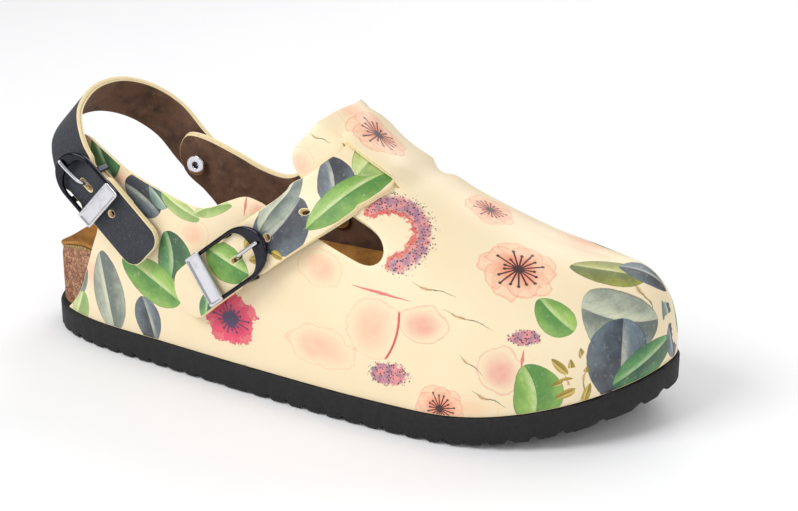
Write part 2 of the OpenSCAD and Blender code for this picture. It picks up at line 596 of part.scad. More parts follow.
// Cuts the corners off a band's end, to the radius r
module end_corners(r) {
    for (s = [0, 1]) mirror([0, s, 0]) linear_extrude(30) difference() {
        translate([-1, strap_w / 2 - r]) square([r + 1, r + 1]);
        translate([r, strap_w / 2 - r]) circle(r = r, $fn = 48);
    }
}
module heel_band(d0, d1) {
    inner = heel_line(d0);
    outer = heel_line(d1);
    at_heel_pivot() difference() {
        linear_extrude(strap_w, center = true)
        polygon(concat(inner, [for (i = [len(outer) - 1:-1:0]) outer[i]]));
        rotate([90, 0, 0]) {
            translate([HEEL_PATH[0][0], 0, 20]) end_corners(6);
            translate([HEEL_PATH[len(HEEL_PATH) - 1][0], 0, -50]) end_corners(strap_w / 2 - 0.5);
        }
        translate([bar_to_rivet, outer_plane, 0]) rotate([90, 0, 0]) {
            prong_slot();
            waist();
            punched_hole(-tail_hole);
        }
        translate([0, 60, 0]) rotate([90, 0, 0]) cylinder(r = rivet_r + running, h = 50, $fn = 32);
    }
}
module heel_strap() {
    color([0.16, 0.16, 0.18])
    heel_band(backing_t + skin_gap, strap_stack);
}
module heel_strap_backing() {
    color([0.42, 0.31, 0.27])
    heel_band(0, backing_t);
}
module heel_buckle_frame() { at_heel_buckle() buckle_frame(HEEL_SPAN); }
module heel_buckle_plate() { at_heel_buckle() buckle_plate(HEEL_SPAN); }
module heel_buckle_prong() { at_heel_buckle() buckle_prong(); }
module heel_buckle_loop() { at_heel_buckle() buckle_loop(); }
module heel_buckle_rivet() {
    at_heel_buckle() translate([-bar_to_rivet, 0, 0]) hollow_rivet(-8, 2 * loop_t + 0.6);
}
module heel_buckle_rivet_cap() {
    at_heel_buckle() translate([-bar_to_rivet, 0, 0]) rivet_cap(2 * loop_t + 0.2);
}
module heel_pivot_rivet() {
    at_heel_pivot() rotate([-90, 0, 0]) hollow_rivet(inner_plane - 6, inner_plane + strap_stack + 0.4);
}
module heel_pivot_rivet_cap() {
    at_heel_pivot() rotate([-90, 0, 0]) rivet_cap(inner_plane + strap_stack + 0.08);
}

module placed() { translate([-sole_l / 2, 0, 0]) children(); }
placed() outsole();
placed() lower_jute();
placed() cork_core();
placed() upper_jute();
placed() footbed_liner();
placed() upper_shell();
placed() upper_lining();
placed() instep_strap();
placed() instep_strap_backing();
placed() instep_strap_rivets();
placed() instep_strap_rivet_caps();
placed() instep_buckle_frame();
placed() instep_buckle_plate();
placed() instep_buckle_prong();
placed() instep_buckle_loop();
placed() instep_buckle_rivet();
placed() instep_buckle_rivet_cap();
placed() heel_strap();
placed() heel_strap_backing();
placed() heel_pivot_rivet();
placed() heel_pivot_rivet_cap();
placed() heel_buckle_frame();
placed() heel_buckle_plate();
placed() heel_buckle_prong();
placed() heel_buckle_loop();
placed() heel_buckle_rivet();
placed() heel_buckle_rivet_cap();
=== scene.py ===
import math

import bpy
import numpy as np
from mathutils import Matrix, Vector
from mathutils.geometry import delaunay_2d_cdt
from mathutils.kdtree import KDTree


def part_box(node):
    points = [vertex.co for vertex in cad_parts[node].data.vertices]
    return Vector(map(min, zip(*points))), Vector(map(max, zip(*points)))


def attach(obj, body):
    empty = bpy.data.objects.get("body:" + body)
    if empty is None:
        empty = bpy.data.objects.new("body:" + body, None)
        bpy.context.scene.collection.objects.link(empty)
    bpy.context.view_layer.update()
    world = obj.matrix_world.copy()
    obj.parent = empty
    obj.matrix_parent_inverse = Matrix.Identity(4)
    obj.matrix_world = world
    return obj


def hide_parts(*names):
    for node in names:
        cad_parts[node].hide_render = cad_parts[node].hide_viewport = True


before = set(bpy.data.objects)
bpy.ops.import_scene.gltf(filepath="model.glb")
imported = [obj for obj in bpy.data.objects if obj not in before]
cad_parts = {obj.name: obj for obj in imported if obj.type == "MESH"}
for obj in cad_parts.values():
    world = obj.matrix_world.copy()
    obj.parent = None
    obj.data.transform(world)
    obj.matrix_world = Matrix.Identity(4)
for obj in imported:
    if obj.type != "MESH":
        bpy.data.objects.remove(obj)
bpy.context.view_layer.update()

# Looks of a closed-toe clog with a heel strap and an instep strap.
# Shapes are worked out in millimetres, with x counted from the back of the heel,
# and go to the frame's metres at the end. Depths are counted inwards from a leather's outer face.

# ---- Sizes -------------------------------------------------------------------

sole_low, sole_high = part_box("outsole")
SOLE_L = (sole_high.x - sole_low.x) * 1000
K = SOLE_L / 263
STATIONS = 9
OUTSOLE_T = 10.6
TOE_SPRING = 13
SPRING_START = 185 * K
WELT = 1
LEATHER_T = 1.6
LINING_T = 0.75
SKIN_GAP = 0.08
LAYER_GAP = 0.15
BRIDGE_LIFT = 5.6
CREST_SINK = 4.5
STRAP_T = LEATHER_T + SKIN_GAP + LINING_T
STRAP_W = 20
HEEL_STRAP_TILT = 43

# Outline of the sole, heel to toe, then the crest line of the upper over it
OUTER_SIDE = np.array([[0, 0], [9, -19], [32, -30], [70, -36], [115, -42], [165, -47], [205, -46],
                       [236, -32], [256, -10], [263, 14]]) * K
INNER_SIDE = np.array([[0, 0], [9, 20.5], [33, 30.5], [74, 31.5], [118, 34.5], [165, 42.5], [205, 45],
                       [234, 41], [254, 30], [263, 14]]) * K
OUTLINE = np.vstack([OUTER_SIDE, INNER_SIDE[STATIONS - 1:0:-1]])
CREST = np.array([[6, 0, 175], [14, 0, 172], [34, 0, 165], [74, 0, 146], [118, 0, 114], [165, 2, 85.2],
                  [203, 7, 67.7], [222.5, 11, 61], [232.8, 13, 58.4], [236.9, 14, 58.6]]) * K
FULLNESS = [[0, 2.2], [5, 2.2], [7, 2.25], [9, 2.4]]
CENTRE = np.array([[30, 0], [34, 0], [48, 0], [78, 0], [116, -3], [162, -2], [198, 2], [220, 7],
                   [231, 11], [235, 13]]) * K

# ---- Curves ------------------------------------------------------------------


def spline(a, b, c, d, f):
    """Catmull-Rom curve from b to c."""
    return 0.5 * (2 * b + (c - a) * f + (2 * a - 5 * b + 4 * c - d) * f**2 + (3 * b - a - 3 * c + d) * f**3)


def along(points, u):
    """The curve through an open line of points."""
    p = np.asarray(points, float)
    p = np.vstack([2 * p[0] - p[1], p, 2 * p[-1] - p[-2]])
    u = np.atleast_1d(np.asarray(u, float))
    i = np.clip(u.astype(int), 0, len(p) - 4)
    return spline(p[i], p[i + 1], p[i + 2], p[i + 3], (u - i)[:, None])


def around(points, u):
    """The curve through a closed loop of points."""
    n = len(points)
    i = np.floor(u).astype(int)
    f = (u - i)[:, None]
    return spline(points[(i - 1) % n], points[i % n], points[(i + 1) % n], points[(i + 2) % n], f)


def smooth(x, table):
    """A smooth curve without overshoot through a table of (place, value)."""
    px, py = np.array(table, float).T
    step = np.diff(px)
    rise = np.diff(py) / step
    both = rise[:-1] * rise[1:]
    slope = np.zeros(len(px))
    slope[1:-1] = np.where(both > 0, 2 * both / np.where(both > 0, rise[:-1] + rise[1:], 1), 0)
    x = np.clip(np.asarray(x, float), px[0], px[-1])
    i = np.clip(np.searchsorted(px, x, side="right") - 1, 0, len(step) - 1)
    f = (x - px[i]) / step[i]
    g = 1 - f
    return (py[i] * (1 + 2 * f) * g * g + py[i + 1] * (3 - 2 * f) * f * f
            + step[i] * (slope[i] * f * g * g - slope[i + 1] * f * f * g))


def ramp(x, low, high):
    f = np.clip((np.asarray(x, float) - low) / (high - low), 0, 1)
    return f * f * (3 - 2 * f)


def mixed(a, b, f):
    return a + (b - a) * f


def unit(v):
    return v / np.linalg.norm(v, axis=-1, keepdims=True)


def even(points, step, closed=False):
    """Points at an even spacing along a line."""
    p = np.asarray(points, float)
    if closed:
        p = np.vstack([p, p[:1]])
    run = np.concatenate([[0], np.cumsum(np.linalg.norm(np.diff(p, axis=0), axis=1))])
    count = max(2, int(round(run[-1] / step)) + 1)
    at = np.linspace(0, run[-1], count)
    line = np.column_stack([np.interp(at, run, p[:, j]) for j in range(p.shape[1])])
    return line[:-1] if closed else line


def flowing(points, fine=12):
    """A smooth line through points; a point given twice is a corner."""
    p = np.asarray(points, float)
    cuts = [0] + [i for i in range(1, len(p)) if np.allclose(p[i], p[i - 1])] + [len(p)]
    runs = [along(p[a:b], np.linspace(0, b - a - 1, (b - a - 1) * fine + 1))
            for a, b in zip(cuts[:-1], cuts[1:]) if b - a > 1]
    return np.vstack(runs)


# ---- Shape of the foot's cover -------------------------------------------------


def edge(u, side, inset):
    """The sole's outline at station u, moved inwards; side is -1 outer, +1 inner."""
    w = np.where(side < 0, u, 2 * STATIONS - u) + 2 * STATIONS
    e = 0.001
    t = unit(around(OUTLINE, w + e) - around(OUTLINE, w - e))
    return around(OUTLINE, w) + np.column_stack([-t[:, 1] * inset, t[:, 0] * inset])


def rise(x):
    return TOE_SPRING * np.clip((x - SPRING_START) / (SOLE_L - SPRING_START), 0, None) ** 2


def seat(u, side):
    return OUTSOLE_T + rise(edge(u, side, 0)[:, 0])


SLIT_V, SLIT_W, SLIT_FROM, SLIT_TO = 0.22, 0.01, 4.485, 4.97
TENT = 0.2


def lift(u, v):
    """Height added over the instep strap, between the two slits."""
    ends = smooth(u, [[4.0, 1], [4.3, 2.4], [SLIT_FROM, 2.4], [SLIT_TO, 1.6], [5.4, 0]])
    early = TENT * (1 - np.minimum(1, v / SLIT_V) ** 2)
    over = ramp(u, SLIT_FROM - early, SLIT_FROM + 0.05) * ramp(u, SLIT_TO + early, SLIT_TO - 0.05)
    on_bridge = mixed(ends, BRIDGE_LIFT, over)
    beside = mixed(ends, 0.1, over) * (1 - ramp(v, SLIT_V, 0.3))
    near = (u > 3.9) & (u < 5.5)
    return np.where(near, np.where(v < SLIT_V + SLIT_W / 2, on_bridge, beside), 0)


def sink(u, v):
    """How much lower the instep is, from the crest to its inner side."""
    return CREST_SINK * ramp(u, 4.25, 4.8) * ramp(u, 5.2, 4.98) * ramp(v, -0.22, 0.12) * ramp(v, 0.62, 0.4)


def arch(u, v, depth):
    """The arch over the foot: v is 0 at the crest, -1 at the outer and +1 at the inner edge of the sole."""
    down = sink(u, v)
    side, v = np.where(v < 0, -1, 1), np.abs(v)
    p, c, n = edge(u, side, WELT + depth), along(CREST, u), smooth(u, FULLNESS)
    a = np.pi / 2 * (1 - v)
    out, up = np.abs(np.cos(a)) ** (2 / n), np.abs(np.sin(a)) ** (2 / n)
    z0 = seat(u, side) + LAYER_GAP
    slant = 6 * ramp(v, 0.42, 0) * ramp(u, 4.75, 4.2)
    return np.column_stack([mixed(c[:, 0], p[:, 0], out) + slant, mixed(c[:, 1], p[:, 1], out),
                            z0 + (c[:, 2] - depth - z0) * up - down])


# The upper is cut flat, in a sheet of u and v stretched to about a millimetre a unit
SHEET = np.array([34.0, 85.0])


def upper(q, depth):
    u, v = q[:, 0] / SHEET[0], q[:, 1] / SHEET[1]
    return arch(u, v, depth - lift(u, np.abs(v)))


# ---- Cutting flat sheets and bending them into shape ------------------------------


def within(p, loops):
    """Which points lie inside the first loop and outside the others."""
    hit = np.zeros(len(p), bool)
    for loop in loops:
        for (x0, y0), (x1, y1) in zip(loop, np.roll(loop, -1, 0)):
            if y0 != y1:
                crossed = (y0 > p[:, 1]) != (y1 > p[:, 1])
                hit ^= crossed & (p[:, 0] < (x1 - x0) * (p[:, 1] - y0) / (y1 - y0) + x0)
    return hit


def triangles(loops, cell):
    """Fills the area between loops with even triangles."""
    rim = np.vstack(loops)
    near = KDTree(len(rim))
    for i, p in enumerate(rim):
        near.insert((p[0], p[1], 0), i)
    near.balance()
    low, high = rim.min(0), rim.max(0)
    row = cell * math.sqrt(3) / 2
    grid = [(low[0] + (i + 0.5 * (j % 2)) * cell, low[1] + j * row)
            for j in range(int((high[1] - low[1]) / row) + 1)
            for i in range(int((high[0] - low[0]) / cell) + 1)]
    grid = np.array(grid)
    grid = grid[within(grid, loops)]
    clear = np.array([near.find((p[0], p[1], 0))[2] > 0.6 * cell for p in grid], bool)
    points = np.vstack([rim, grid[clear]]) if len(grid) else rim
    links, start = [], 0
    for loop in loops:
        n = len(loop)
        links += [(start + i, start + (i + 1) % n) for i in range(n)]
        start += n
    verts, _, faces, _, _, _ = delaunay_2d_cdt([Vector(p) for p in points], links, [], 0, 1e-6)
    q = np.array([tuple(v) for v in verts])
    f = np.array([tuple(t) for t in faces if len(t) == 3])
    return q, f[within(q[f].mean(1), loops)]


class Part:
    """Points in millimetres with faces, a material number for each face, and painted corners."""

    def __init__(self, points, faces, kinds, painted=None):
        self.points, self.faces, self.kinds, self.painted = points, faces, kinds, painted or {}


def sheet(loops, surface, top, bottom, cell, bevel=0.3, motifs=(), steps=3):
    """A closed solid cut along loops: faces are 0 on the top side, 1 on the cut edge, 2 underneath."""
    q, f = triangles(loops, cell)
    outer, inner = surface(q, top), surface(q, bottom)
    _, first, same = np.unique(np.round(outer, 3), axis=0, return_index=True, return_inverse=True)
    same = same.ravel()
    f = same[f]
    f = f[(f[:, 0] != f[:, 1]) & (f[:, 1] != f[:, 2]) & (f[:, 2] != f[:, 0])]
    outer, inner, q = outer[first], inner[first], q[first]
    normal = np.cross(outer[f[:, 1]] - outer[f[:, 0]], outer[f[:, 2]] - outer[f[:, 0]])
    if (normal * (outer - inner)[f[:, 0]]).sum() < 0:
        f, normal = f[:, ::-1], -normal
    n = len(outer)
    ends = np.vstack([f[:, [0, 1]], f[:, [1, 2]], f[:, [2, 0]]])
    owner = np.tile(np.arange(len(f)), 3)
    known = set(map(tuple, ends))
    free = np.array([(b, a) not in known for a, b in ends])
    ends, owner = ends[free], owner[free]
    rim = np.unique(ends)
    inward = np.zeros((n, 3))
    push = unit(np.cross(unit(normal[owner]), unit(outer[ends[:, 1]] - outer[ends[:, 0]])))
    np.add.at(inward, ends[:, 0], push)
    np.add.at(inward, ends[:, 1], push)
    inward[rim] = unit(inward[rim])
    thick = np.linalg.norm(outer - inner, axis=1)[rim, None]
    r = np.minimum(bevel, 0.45 * thick)
    turn = np.linspace(0, np.pi / 2, steps)
    rings = [((1 - math.cos(a)) * r, (1 - math.sin(a)) * r) for a in turn]
    rings += [(thick - down, inset) for down, inset in reversed(rings)]
    place = np.full(n, -1)
    place[rim] = np.arange(len(rim))
    layers = [outer[rim] + (inner - outer)[rim] * down / thick + inward[rim] * inset for down, inset in rings]
    outer, inner = outer.copy(), inner.copy()
    outer[rim], inner[rim] = layers[0], layers[-1]
    points = np.vstack([outer, inner] + layers[1:-1])
    a, b = place[ends[:, 0]], place[ends[:, 1]]
    m = len(rim)
    at = [rim] + [2 * n + k * m + np.arange(m) for k in range(len(layers) - 2)] + [n + rim]
    walls = [np.column_stack([one[b], one[a], two[a], two[b]]) for one, two in zip(at[:-1], at[1:])]
    faces = [tuple(t) for t in f] + [tuple(t[::-1] + n) for t in f]
    faces += [tuple(w) for wall in walls for w in wall]
    kinds = [0] * len(f) + [2] * len(f) + [1] * (len(faces) - 2 * len(f))
    if not motifs:
        return Part(points, faces, kinds, None)
    corners = sum(map(len, faces))
    return Part(points, faces, kinds, paint(outer, f, unit(normal), surface, top, bottom, motifs, corners))


def rings(columns, closed=True):
    """A solid from rows of points: columns[i][j] runs round, each row closes on itself."""
    n, m = columns.shape[:2]
    points = columns.reshape(-1, 3)
    faces = [(i * m + j, i * m + j + 1, (i + 1) % n * m + j + 1, (i + 1) % n * m + j)
             for i in range(n if closed else n - 1) for j in range(m - 1)]
    return Part(points, faces, [0] * len(faces))


def lathe(profile, matrix, count=40):
    """A turned solid: profile holds (radius, height) points."""
    a = np.linspace(0, 2 * np.pi, count, endpoint=False)
    profile = np.asarray(profile, float)
    columns = np.array([[(r * math.cos(t), r * math.sin(t), z) for r, z in profile] for t in a])
    part = rings(columns)
    part.points = matrix(part.points)
    return part


def rod(path, width, height, matrix, corner=8):
    """A bar of oval section with round ends along a path."""
    path = np.asarray(path, float)
    t = unit(np.gradient(path, axis=0))
    side = unit(np.cross(t, [0, 0, 1.0]) + np.where(np.abs(t[:, 2:]) > 0.99, [0, 1e-3, 0], 0))
    up = np.cross(side, t)
    run = np.concatenate([[0], np.cumsum(np.linalg.norm(np.diff(path, axis=0), axis=1))])
    reach = height / 2
    ends = np.minimum(run, run[-1] - run)
    swell = np.sqrt(np.clip(1 - (1 - np.minimum(ends / reach, 1)) ** 2, 0.0004, 1))[:, None]
    a = np.linspace(0, 2 * np.pi, 2 * corner, endpoint=False)
    columns = np.array([path + side * swell * width / 2 * math.cos(b) + up * swell * height / 2 * math.sin(b)
                        for b in a])
    part = rings(columns)
    part.points = matrix(part.points)
    return part


def joined(*parts):
    points, faces, kinds, n = [], [], [], 0
    for p in parts:
        points.append(p.points)
        faces += [tuple(i + n for i in f) for f in p.faces]
        kinds += list(p.kinds)
        n += len(p.points)
    return Part(np.vstack(points), faces, kinds)


def make(name, part, body, nodes, slot, materials, crease=38):
    """Turns a part into an object on its body, in metres, standing for its CAD nodes."""
    place = (part.points * 0.001 + [sole_low.x, 0, 0]).tolist()
    mesh = bpy.data.meshes.new(name)
    mesh.from_pydata(place, [], [tuple(int(i) for i in f) for f in part.faces])
    for material in materials:
        mesh.materials.append(material)
    mesh.polygons.foreach_set("material_index", [min(k, len(materials) - 1) for k in part.kinds])
    mesh.polygons.foreach_set("use_smooth", [True] * len(mesh.polygons))
    for layer, values in part.painted.items():
        attribute = mesh.attributes.new(layer, "FLOAT_VECTOR", "CORNER")
        attribute.data.foreach_set("vector", values.astype(np.float32).ravel())
    mesh.validate()
    mesh.set_sharp_from_angle(angle=math.radians(crease))
    piece = bpy.data.objects.new(name, mesh)
    bpy.context.scene.collection.objects.link(piece)
    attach(piece, body)
    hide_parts(*nodes)
    return piece


# ---- Printed motifs ------------------------------------------------------------
# A motif is (kind, place on the sheet, angle, half length, half width, tone). Its faces carry the motif's own
# coordinates, -1 to 1, and the tone: the whole number picks a colour and the fraction varies the shape.

LEAF_LAYERS = ["leaf_1", "leaf_2", "leaf_3", "leaf_4", "leaf_5"]
WASH_LAYERS = ["wash_1", "wash_2"]
PAINT_LAYERS = WASH_LAYERS + ["blossom", "specks", "twig"] + LEAF_LAYERS
UNPAINTED = 9.0


def paint(points, faces, normals, surface, top, bottom, motifs, corner_count):
    """Corner attributes that place each motif on the faces around it."""
    layers = {name: np.full((corner_count, 3), UNPAINTED) for name in PAINT_LAYERS}
    stacks = {"leaf": LEAF_LAYERS, "wash": WASH_LAYERS}
    levels = {name: np.zeros(len(faces), int) for name in stacks}
    corners = points[faces]
    for kind, place, angle, length, width, tone in motifs:
        e = np.array([[0, 0], [0.5, 0], [-0.5, 0], [0, 0.5], [0, -0.5]]) + place
        p = surface(e, top)
        out = p[0] - surface(e[:1], bottom)[0]
        x = unit(p[1] - p[2])
        z = unit(np.cross(x, p[3] - p[4]))
        z = z if z @ out > 0 else -z
        y = np.cross(z, x)
        a = math.radians(angle)
        x, y = x * math.cos(a) + y * math.sin(a), y * math.cos(a) - x * math.sin(a)
        local = np.stack([(corners - p[0]) @ x / length, (corners - p[0]) @ y / width], -1)
        reach = 1.0 + 1.6 / min(length, abs(width))
        near = (np.linalg.norm(local, axis=-1) < reach * 1.06).any(-1) & (normals @ z > 0.15)
        near &= np.abs((corners - p[0]) @ z).max(-1) < 1.3 * max(length, abs(width))
        if kind in stacks:
            level, names = levels[kind], stacks[kind]
            used = min(level[near].max(), len(names) - 1) if near.any() else 0
            level[near] = used + 1
            kind = names[used]
        for corner in range(3):
            at = np.flatnonzero(near) * 3 + corner
            layers[kind][at, :2] = local[near, corner]
            layers[kind][at, 2] = tone
    return layers


# ---- Materials -------------------------------------------------------------------


def colour(code):
    """A colour written as six hexadecimal digits, made linear."""
    c = [int(code[i:i + 2], 16) / 255 for i in (0, 2, 4)]
    return tuple(v / 12.92 if v < 0.04045 else ((v + 0.055) / 1.055) ** 2.4 for v in c) + (1.0,)


class Value:
    """A number inside a shader, for ordinary arithmetic."""

    def __init__(self, tree, socket):
        self.tree, self.socket = tree, socket

    def do(self, operation, *others):
        node = self.tree.nodes.new("ShaderNodeMath")
        node.operation = operation
        for slot, value in zip(node.inputs, (self,) + others):
            feed(self.tree, slot, value)
        return Value(self.tree, node.outputs[0])

    def __add__(self, other):
        return self.do("ADD", other)

    def __sub__(self, other):
        return self.do("SUBTRACT", other)

    def __mul__(self, other):
        return self.do("MULTIPLY", other)

    def __truediv__(self, other):
        return self.do("DIVIDE", other)

    def __neg__(self):
        return self * -1

    def __rsub__(self, other):
        return -self + other

    __radd__, __rmul__ = __add__, __mul__


def feed(tree, slot, value):
    if isinstance(value, Value):
        tree.links.new(value.socket, slot)
    elif isinstance(value, str):
        slot.default_value = colour(value)
    else:
        slot.default_value = value


class Shader:
    """A material made of nodes. Places are in millimetres."""

    def __init__(self, name):
        self.material = bpy.data.materials.new(name)
        self.material.use_nodes = True
        self.tree = self.material.node_tree
        self.tree.nodes.clear()
        place = self.out(self.node("ShaderNodeTexCoord"), "Object")
        scaled = self.node("ShaderNodeVectorMath", {0: place, "Scale": 1000.0}, operation="SCALE")
        self.place = self.out(scaled)

    def node(self, kind, inputs=None, **settings):
        node = self.tree.nodes.new(kind)
        for name, value in settings.items():
            setattr(node, name, value)
        for name, value in (inputs or {}).items():
            feed(self.tree, node.inputs[name], value)
        return node

    def out(self, node, name=0):
        return Value(self.tree, node.outputs[name])

    def noise(self, size, detail=2.0, rough=0.5, where=None):
        """Soft noise from 0 to 1 with spots of about this size."""
        node = self.node("ShaderNodeTexNoise", {"Vector": where or self.place, "Scale": 1 / size,
                                                "Detail": detail, "Roughness": rough})
        return self.out(node, "Fac" if "Fac" in node.outputs else 0)

    def cells(self, size, feature="F1", name="Distance", where=None):
        inputs = {"Vector": where or self.place, "Scale": 1 / size}
        return self.out(self.node("ShaderNodeTexVoronoi", inputs, feature=feature), name)

    def random(self, x):
        return self.out(self.node("ShaderNodeTexWhiteNoise", {"W": x}, noise_dimensions="1D"), "Value")

    def ramp(self, x, low, high):
        node = self.node("ShaderNodeMapRange", {"Value": x, "From Min": low, "From Max": high},
                         interpolation_type="SMOOTHSTEP")
        return self.out(node, "Result")

    def mix(self, a, b, f):
        node = self.node("ShaderNodeMix", data_type="RGBA", clamp_factor=True)
        feed(self.tree, node.inputs[0], f)
        feed(self.tree, node.inputs[6], a)
        feed(self.tree, node.inputs[7], b)
        return Value(self.tree, node.outputs[2])

    def pick(self, index, codes):
        """The colour of that number in a list."""
        node = self.node("ShaderNodeValToRGB", {0: (index + 0.5) / float(len(codes))})
        node.color_ramp.interpolation = "CONSTANT"
        stops = node.color_ramp.elements
        while len(stops) < len(codes):
            stops.new(1.0)
        for i, code in enumerate(codes):
            stops[i].position = i / len(codes)
            stops[i].color = colour(code)
        return self.out(node, "Color")

    def layer(self, name):
        """The three numbers of a painted layer."""
        stored = self.out(self.node("ShaderNodeAttribute", attribute_name=name), "Vector")
        node = self.node("ShaderNodeSeparateXYZ", {0: stored})
        return [self.out(node, i) for i in range(3)]

    def finish(self, base, rough, height=None, bump=0.2, **more):
        """Ends the material: height is in millimetres."""
        inputs = {"Base Color": base, "Roughness": rough}
        inputs.update({name.replace("_", " "): value for name, value in more.items()})
        if height is not None:
            inputs["Normal"] = self.out(self.node("ShaderNodeBump", {"Height": height, "Strength": bump,
                                                                     "Distance": 0.001}))
        bsdf = self.node("ShaderNodeBsdfPrincipled", inputs)
        self.node("ShaderNodeOutputMaterial", {"Surface": self.out(bsdf)})
        return self.material


def greatest(a, b):
    return a.do("MAXIMUM", b)


def size_of(a):
    return a.do("ABSOLUTE")


def radius(x, y):
    return (x * x + y * y).do("SQRT")


LEAF_LIGHT = ["9cc25c", "5f9f58", "a9a83c", "b9c0aa", "6d7c86", "cfae3a", "c9d98e", "8ea79a"]
LEAF_DARK = ["4a8735", "24543a", "5c6a20", "5f6c66", "2a3240", "8f7a22", "86a65c", "3f5654"]


def leaf(s, ground, name):
    """A watercolour leaf along x, in two halves; a larger fraction of the tone makes it more pointed."""
    x, y, tone = s.layer(name)
    kind = tone.do("FLOOR")
    variety = tone - kind
    blot = s.noise(6, 4, 0.6) - 0.5
    y = y + (variety - 0.5) * 0.7 * (x * x - 0.4)
    half = greatest(1 - x * x, 0).do("POWER", variety * 0.4 + 0.42) * (1 - 0.14 * x) * 0.96
    gap = half - size_of(y) + (s.noise(2.2, 3) - 0.5) * 0.07
    light, dark = s.pick(kind, LEAF_LIGHT), s.pick(kind, LEAF_DARK)
    rib = y - 0.1 - 0.1 * x
    above = s.mix(light, dark, s.ramp(rib * 1.1 + blot * 1.6 + x * 0.3, 0.0, 1.0) * 0.65)
    below = s.mix(dark, light, s.ramp(-rib * 0.9 + blot * 1.8 - x * 0.3, 0.0, 1.2) * 0.75)
    shade = s.mix(below, above, s.ramp(rib, -0.02, 0.02))
    glow = s.ramp(0.22 - size_of(rib - 0.08), 0.0, 0.2) * s.ramp(rib, -0.02, 0.02) * (1 - x * x)
    shade = s.mix(shade, "f3f0cf", glow * (0.35 + blot))
    shade = s.mix(shade, dark, s.ramp(s.noise(0.8, 3, 0.7), 0.5, 0.8) * 0.35)
    shade = s.mix(shade, "f2f1da", s.ramp(s.noise(1.6, 3), 0.58, 0.8) * 0.22)
    veins = s.ramp(((size_of(rib) * 1.5 - x) * 16.0 + blot * 8.0).do("SINE"), 0.6, 1.0)
    shade = s.mix(shade, dark, veins * 0.16)
    shade = s.mix(shade, "1f2f2b", (1 - s.ramp(gap, 0.015, 0.08)) * 0.5)
    return s.mix(ground, shade, s.ramp(gap, 0.0, 0.04) * 0.97)


def blossom(s, ground):
    """Pale overlapping petals round a dark heart with stamens."""
    x, y, tone = s.layer("blossom")
    kind = tone.do("FLOOR")
    ragged = s.ramp(kind, 1.4, 1.6)
    seed = (tone - kind) * 40.0
    soft = s.noise(5, 3) - 0.5
    fringe = (s.noise(1.8, 3) - 0.5) * ragged
    pale, deep = s.pick(kind, ["f7bfa0", "f2a39a", "e5486a"]), s.pick(kind, ["ea7d5f", "df6467", "c32650"])
    for turn, size in ((0.0, 0.38), (0.6, 0.3)):
        angle = y.do("ARCTAN2", x) + soft * 0.6 + seed + turn
        r = radius(x, y) + soft * 0.25 + fringe * 0.5
        lobe = size_of((angle * 2.5).do("COSINE")).do("POWER", 0.5)
        gap = 0.5 + size * lobe - r
        shade = s.mix(pale, deep, s.ramp(s.noise(4, 3), 0.45, 0.75) * 0.5)
        ground = s.mix(ground, shade, s.ramp(gap, 0.0, 0.04) * (0.42 + 0.45 * ragged))
        line = s.ramp(gap, 0.0, 0.02) * (1 - s.ramp(gap, 0.02, 0.07))
        ground = s.mix(ground, deep, line * 0.4)
    r = radius(x, y)
    ground = s.mix(ground, deep, s.ramp(0.62 - r + soft * 0.5, 0.0, 0.45) * 0.8)
    ink = s.mix("1c1420", "3a3a5c", ragged)
    rays = 17.0
    spoke = y.do("ARCTAN2", x) * (rays / (2 * math.pi))
    number = (spoke + 0.5).do("FLOOR")
    off = size_of(spoke - number) * (2 * math.pi / rays) * r
    reach = 0.3 + 0.3 * s.random(number + seed)
    line = s.ramp(0.026 - off, 0.0, 0.012) * s.ramp(reach - r, 0.0, 0.02)
    knob = s.ramp(0.046 - radius(off, r - reach), 0.0, 0.015)
    heart = s.ramp(0.13 + 0.14 * ragged - r + (s.noise(1.2, 2) - 0.5) * 0.2, -0.02, 0.04)
    return s.mix(ground, ink, greatest(greatest(line, knob), heart) * 0.95)


def wash(s, ground, name):
    """A soft stain with a thin rim, and a red stroke across it where the tone's fraction is large."""
    x, y, tone = s.layer(name)
    kind = tone.do("FLOOR")
    r = radius(x, y) + (s.noise(8, 3) - 0.5) * 0.55
    gap = 0.86 - r
    tint = s.pick(kind, ["f2a68c", "e2566c", "f5c19a", "b7c48c"])
    body = s.ramp(gap, 0.0, 0.7) * (0.15 + 0.85 * s.noise(4, 4))
    rim = s.ramp(gap, 0.0, 0.02) * (1 - s.ramp(gap, 0.02, 0.1)) * 0.42
    ground = s.mix(ground, tint, greatest(body, rim) * 0.85)
    across = x - 0.85 + 0.3 * y * y
    stroke = s.ramp(0.05 - size_of(across), 0.0, 0.03) * s.ramp(0.75 - size_of(y), 0.0, 0.1)
    return s.mix(ground, "c8202a", stroke * s.ramp(tone - kind, 0.5, 0.6) * 0.9)


def specks(s, ground):
    """A ragged patch of tiny dark marks: a cluster, or a bow of them for tone 1."""
    x, y, tone = s.layer("specks")
    kind = tone.do("FLOOR")
    rag = (s.noise(1.6, 3) - 0.5) * 0.7
    bow = 0.24 - size_of(radius(x, y) - 0.72) + rag * 0.5 + s.ramp(-y, 0.1, 0.7) * -0.6
    blob = 0.75 - radius(x, y) + rag
    gap = kind * bow + (1 - kind) * blob
    tint = s.mix("df7f86", "8e5a86", s.ramp(s.noise(2.5, 3), 0.35, 0.65))
    ground = s.mix(ground, tint, s.ramp(gap, 0.0, 0.16) * 0.85)
    marks = s.ramp(0.36 - s.cells(1.0), 0.0, 0.08) * s.ramp(gap, -0.12, 0.06)
    ground = s.mix(ground, "2f1628", marks * 0.9)
    low = s.ramp(0.09 - size_of(gap - 0.03), 0.0, 0.06) * kind
    return s.mix(ground, "d23a44", low * s.ramp(0.8 - radius(x, y), -0.05, 0.1) * 0.8)


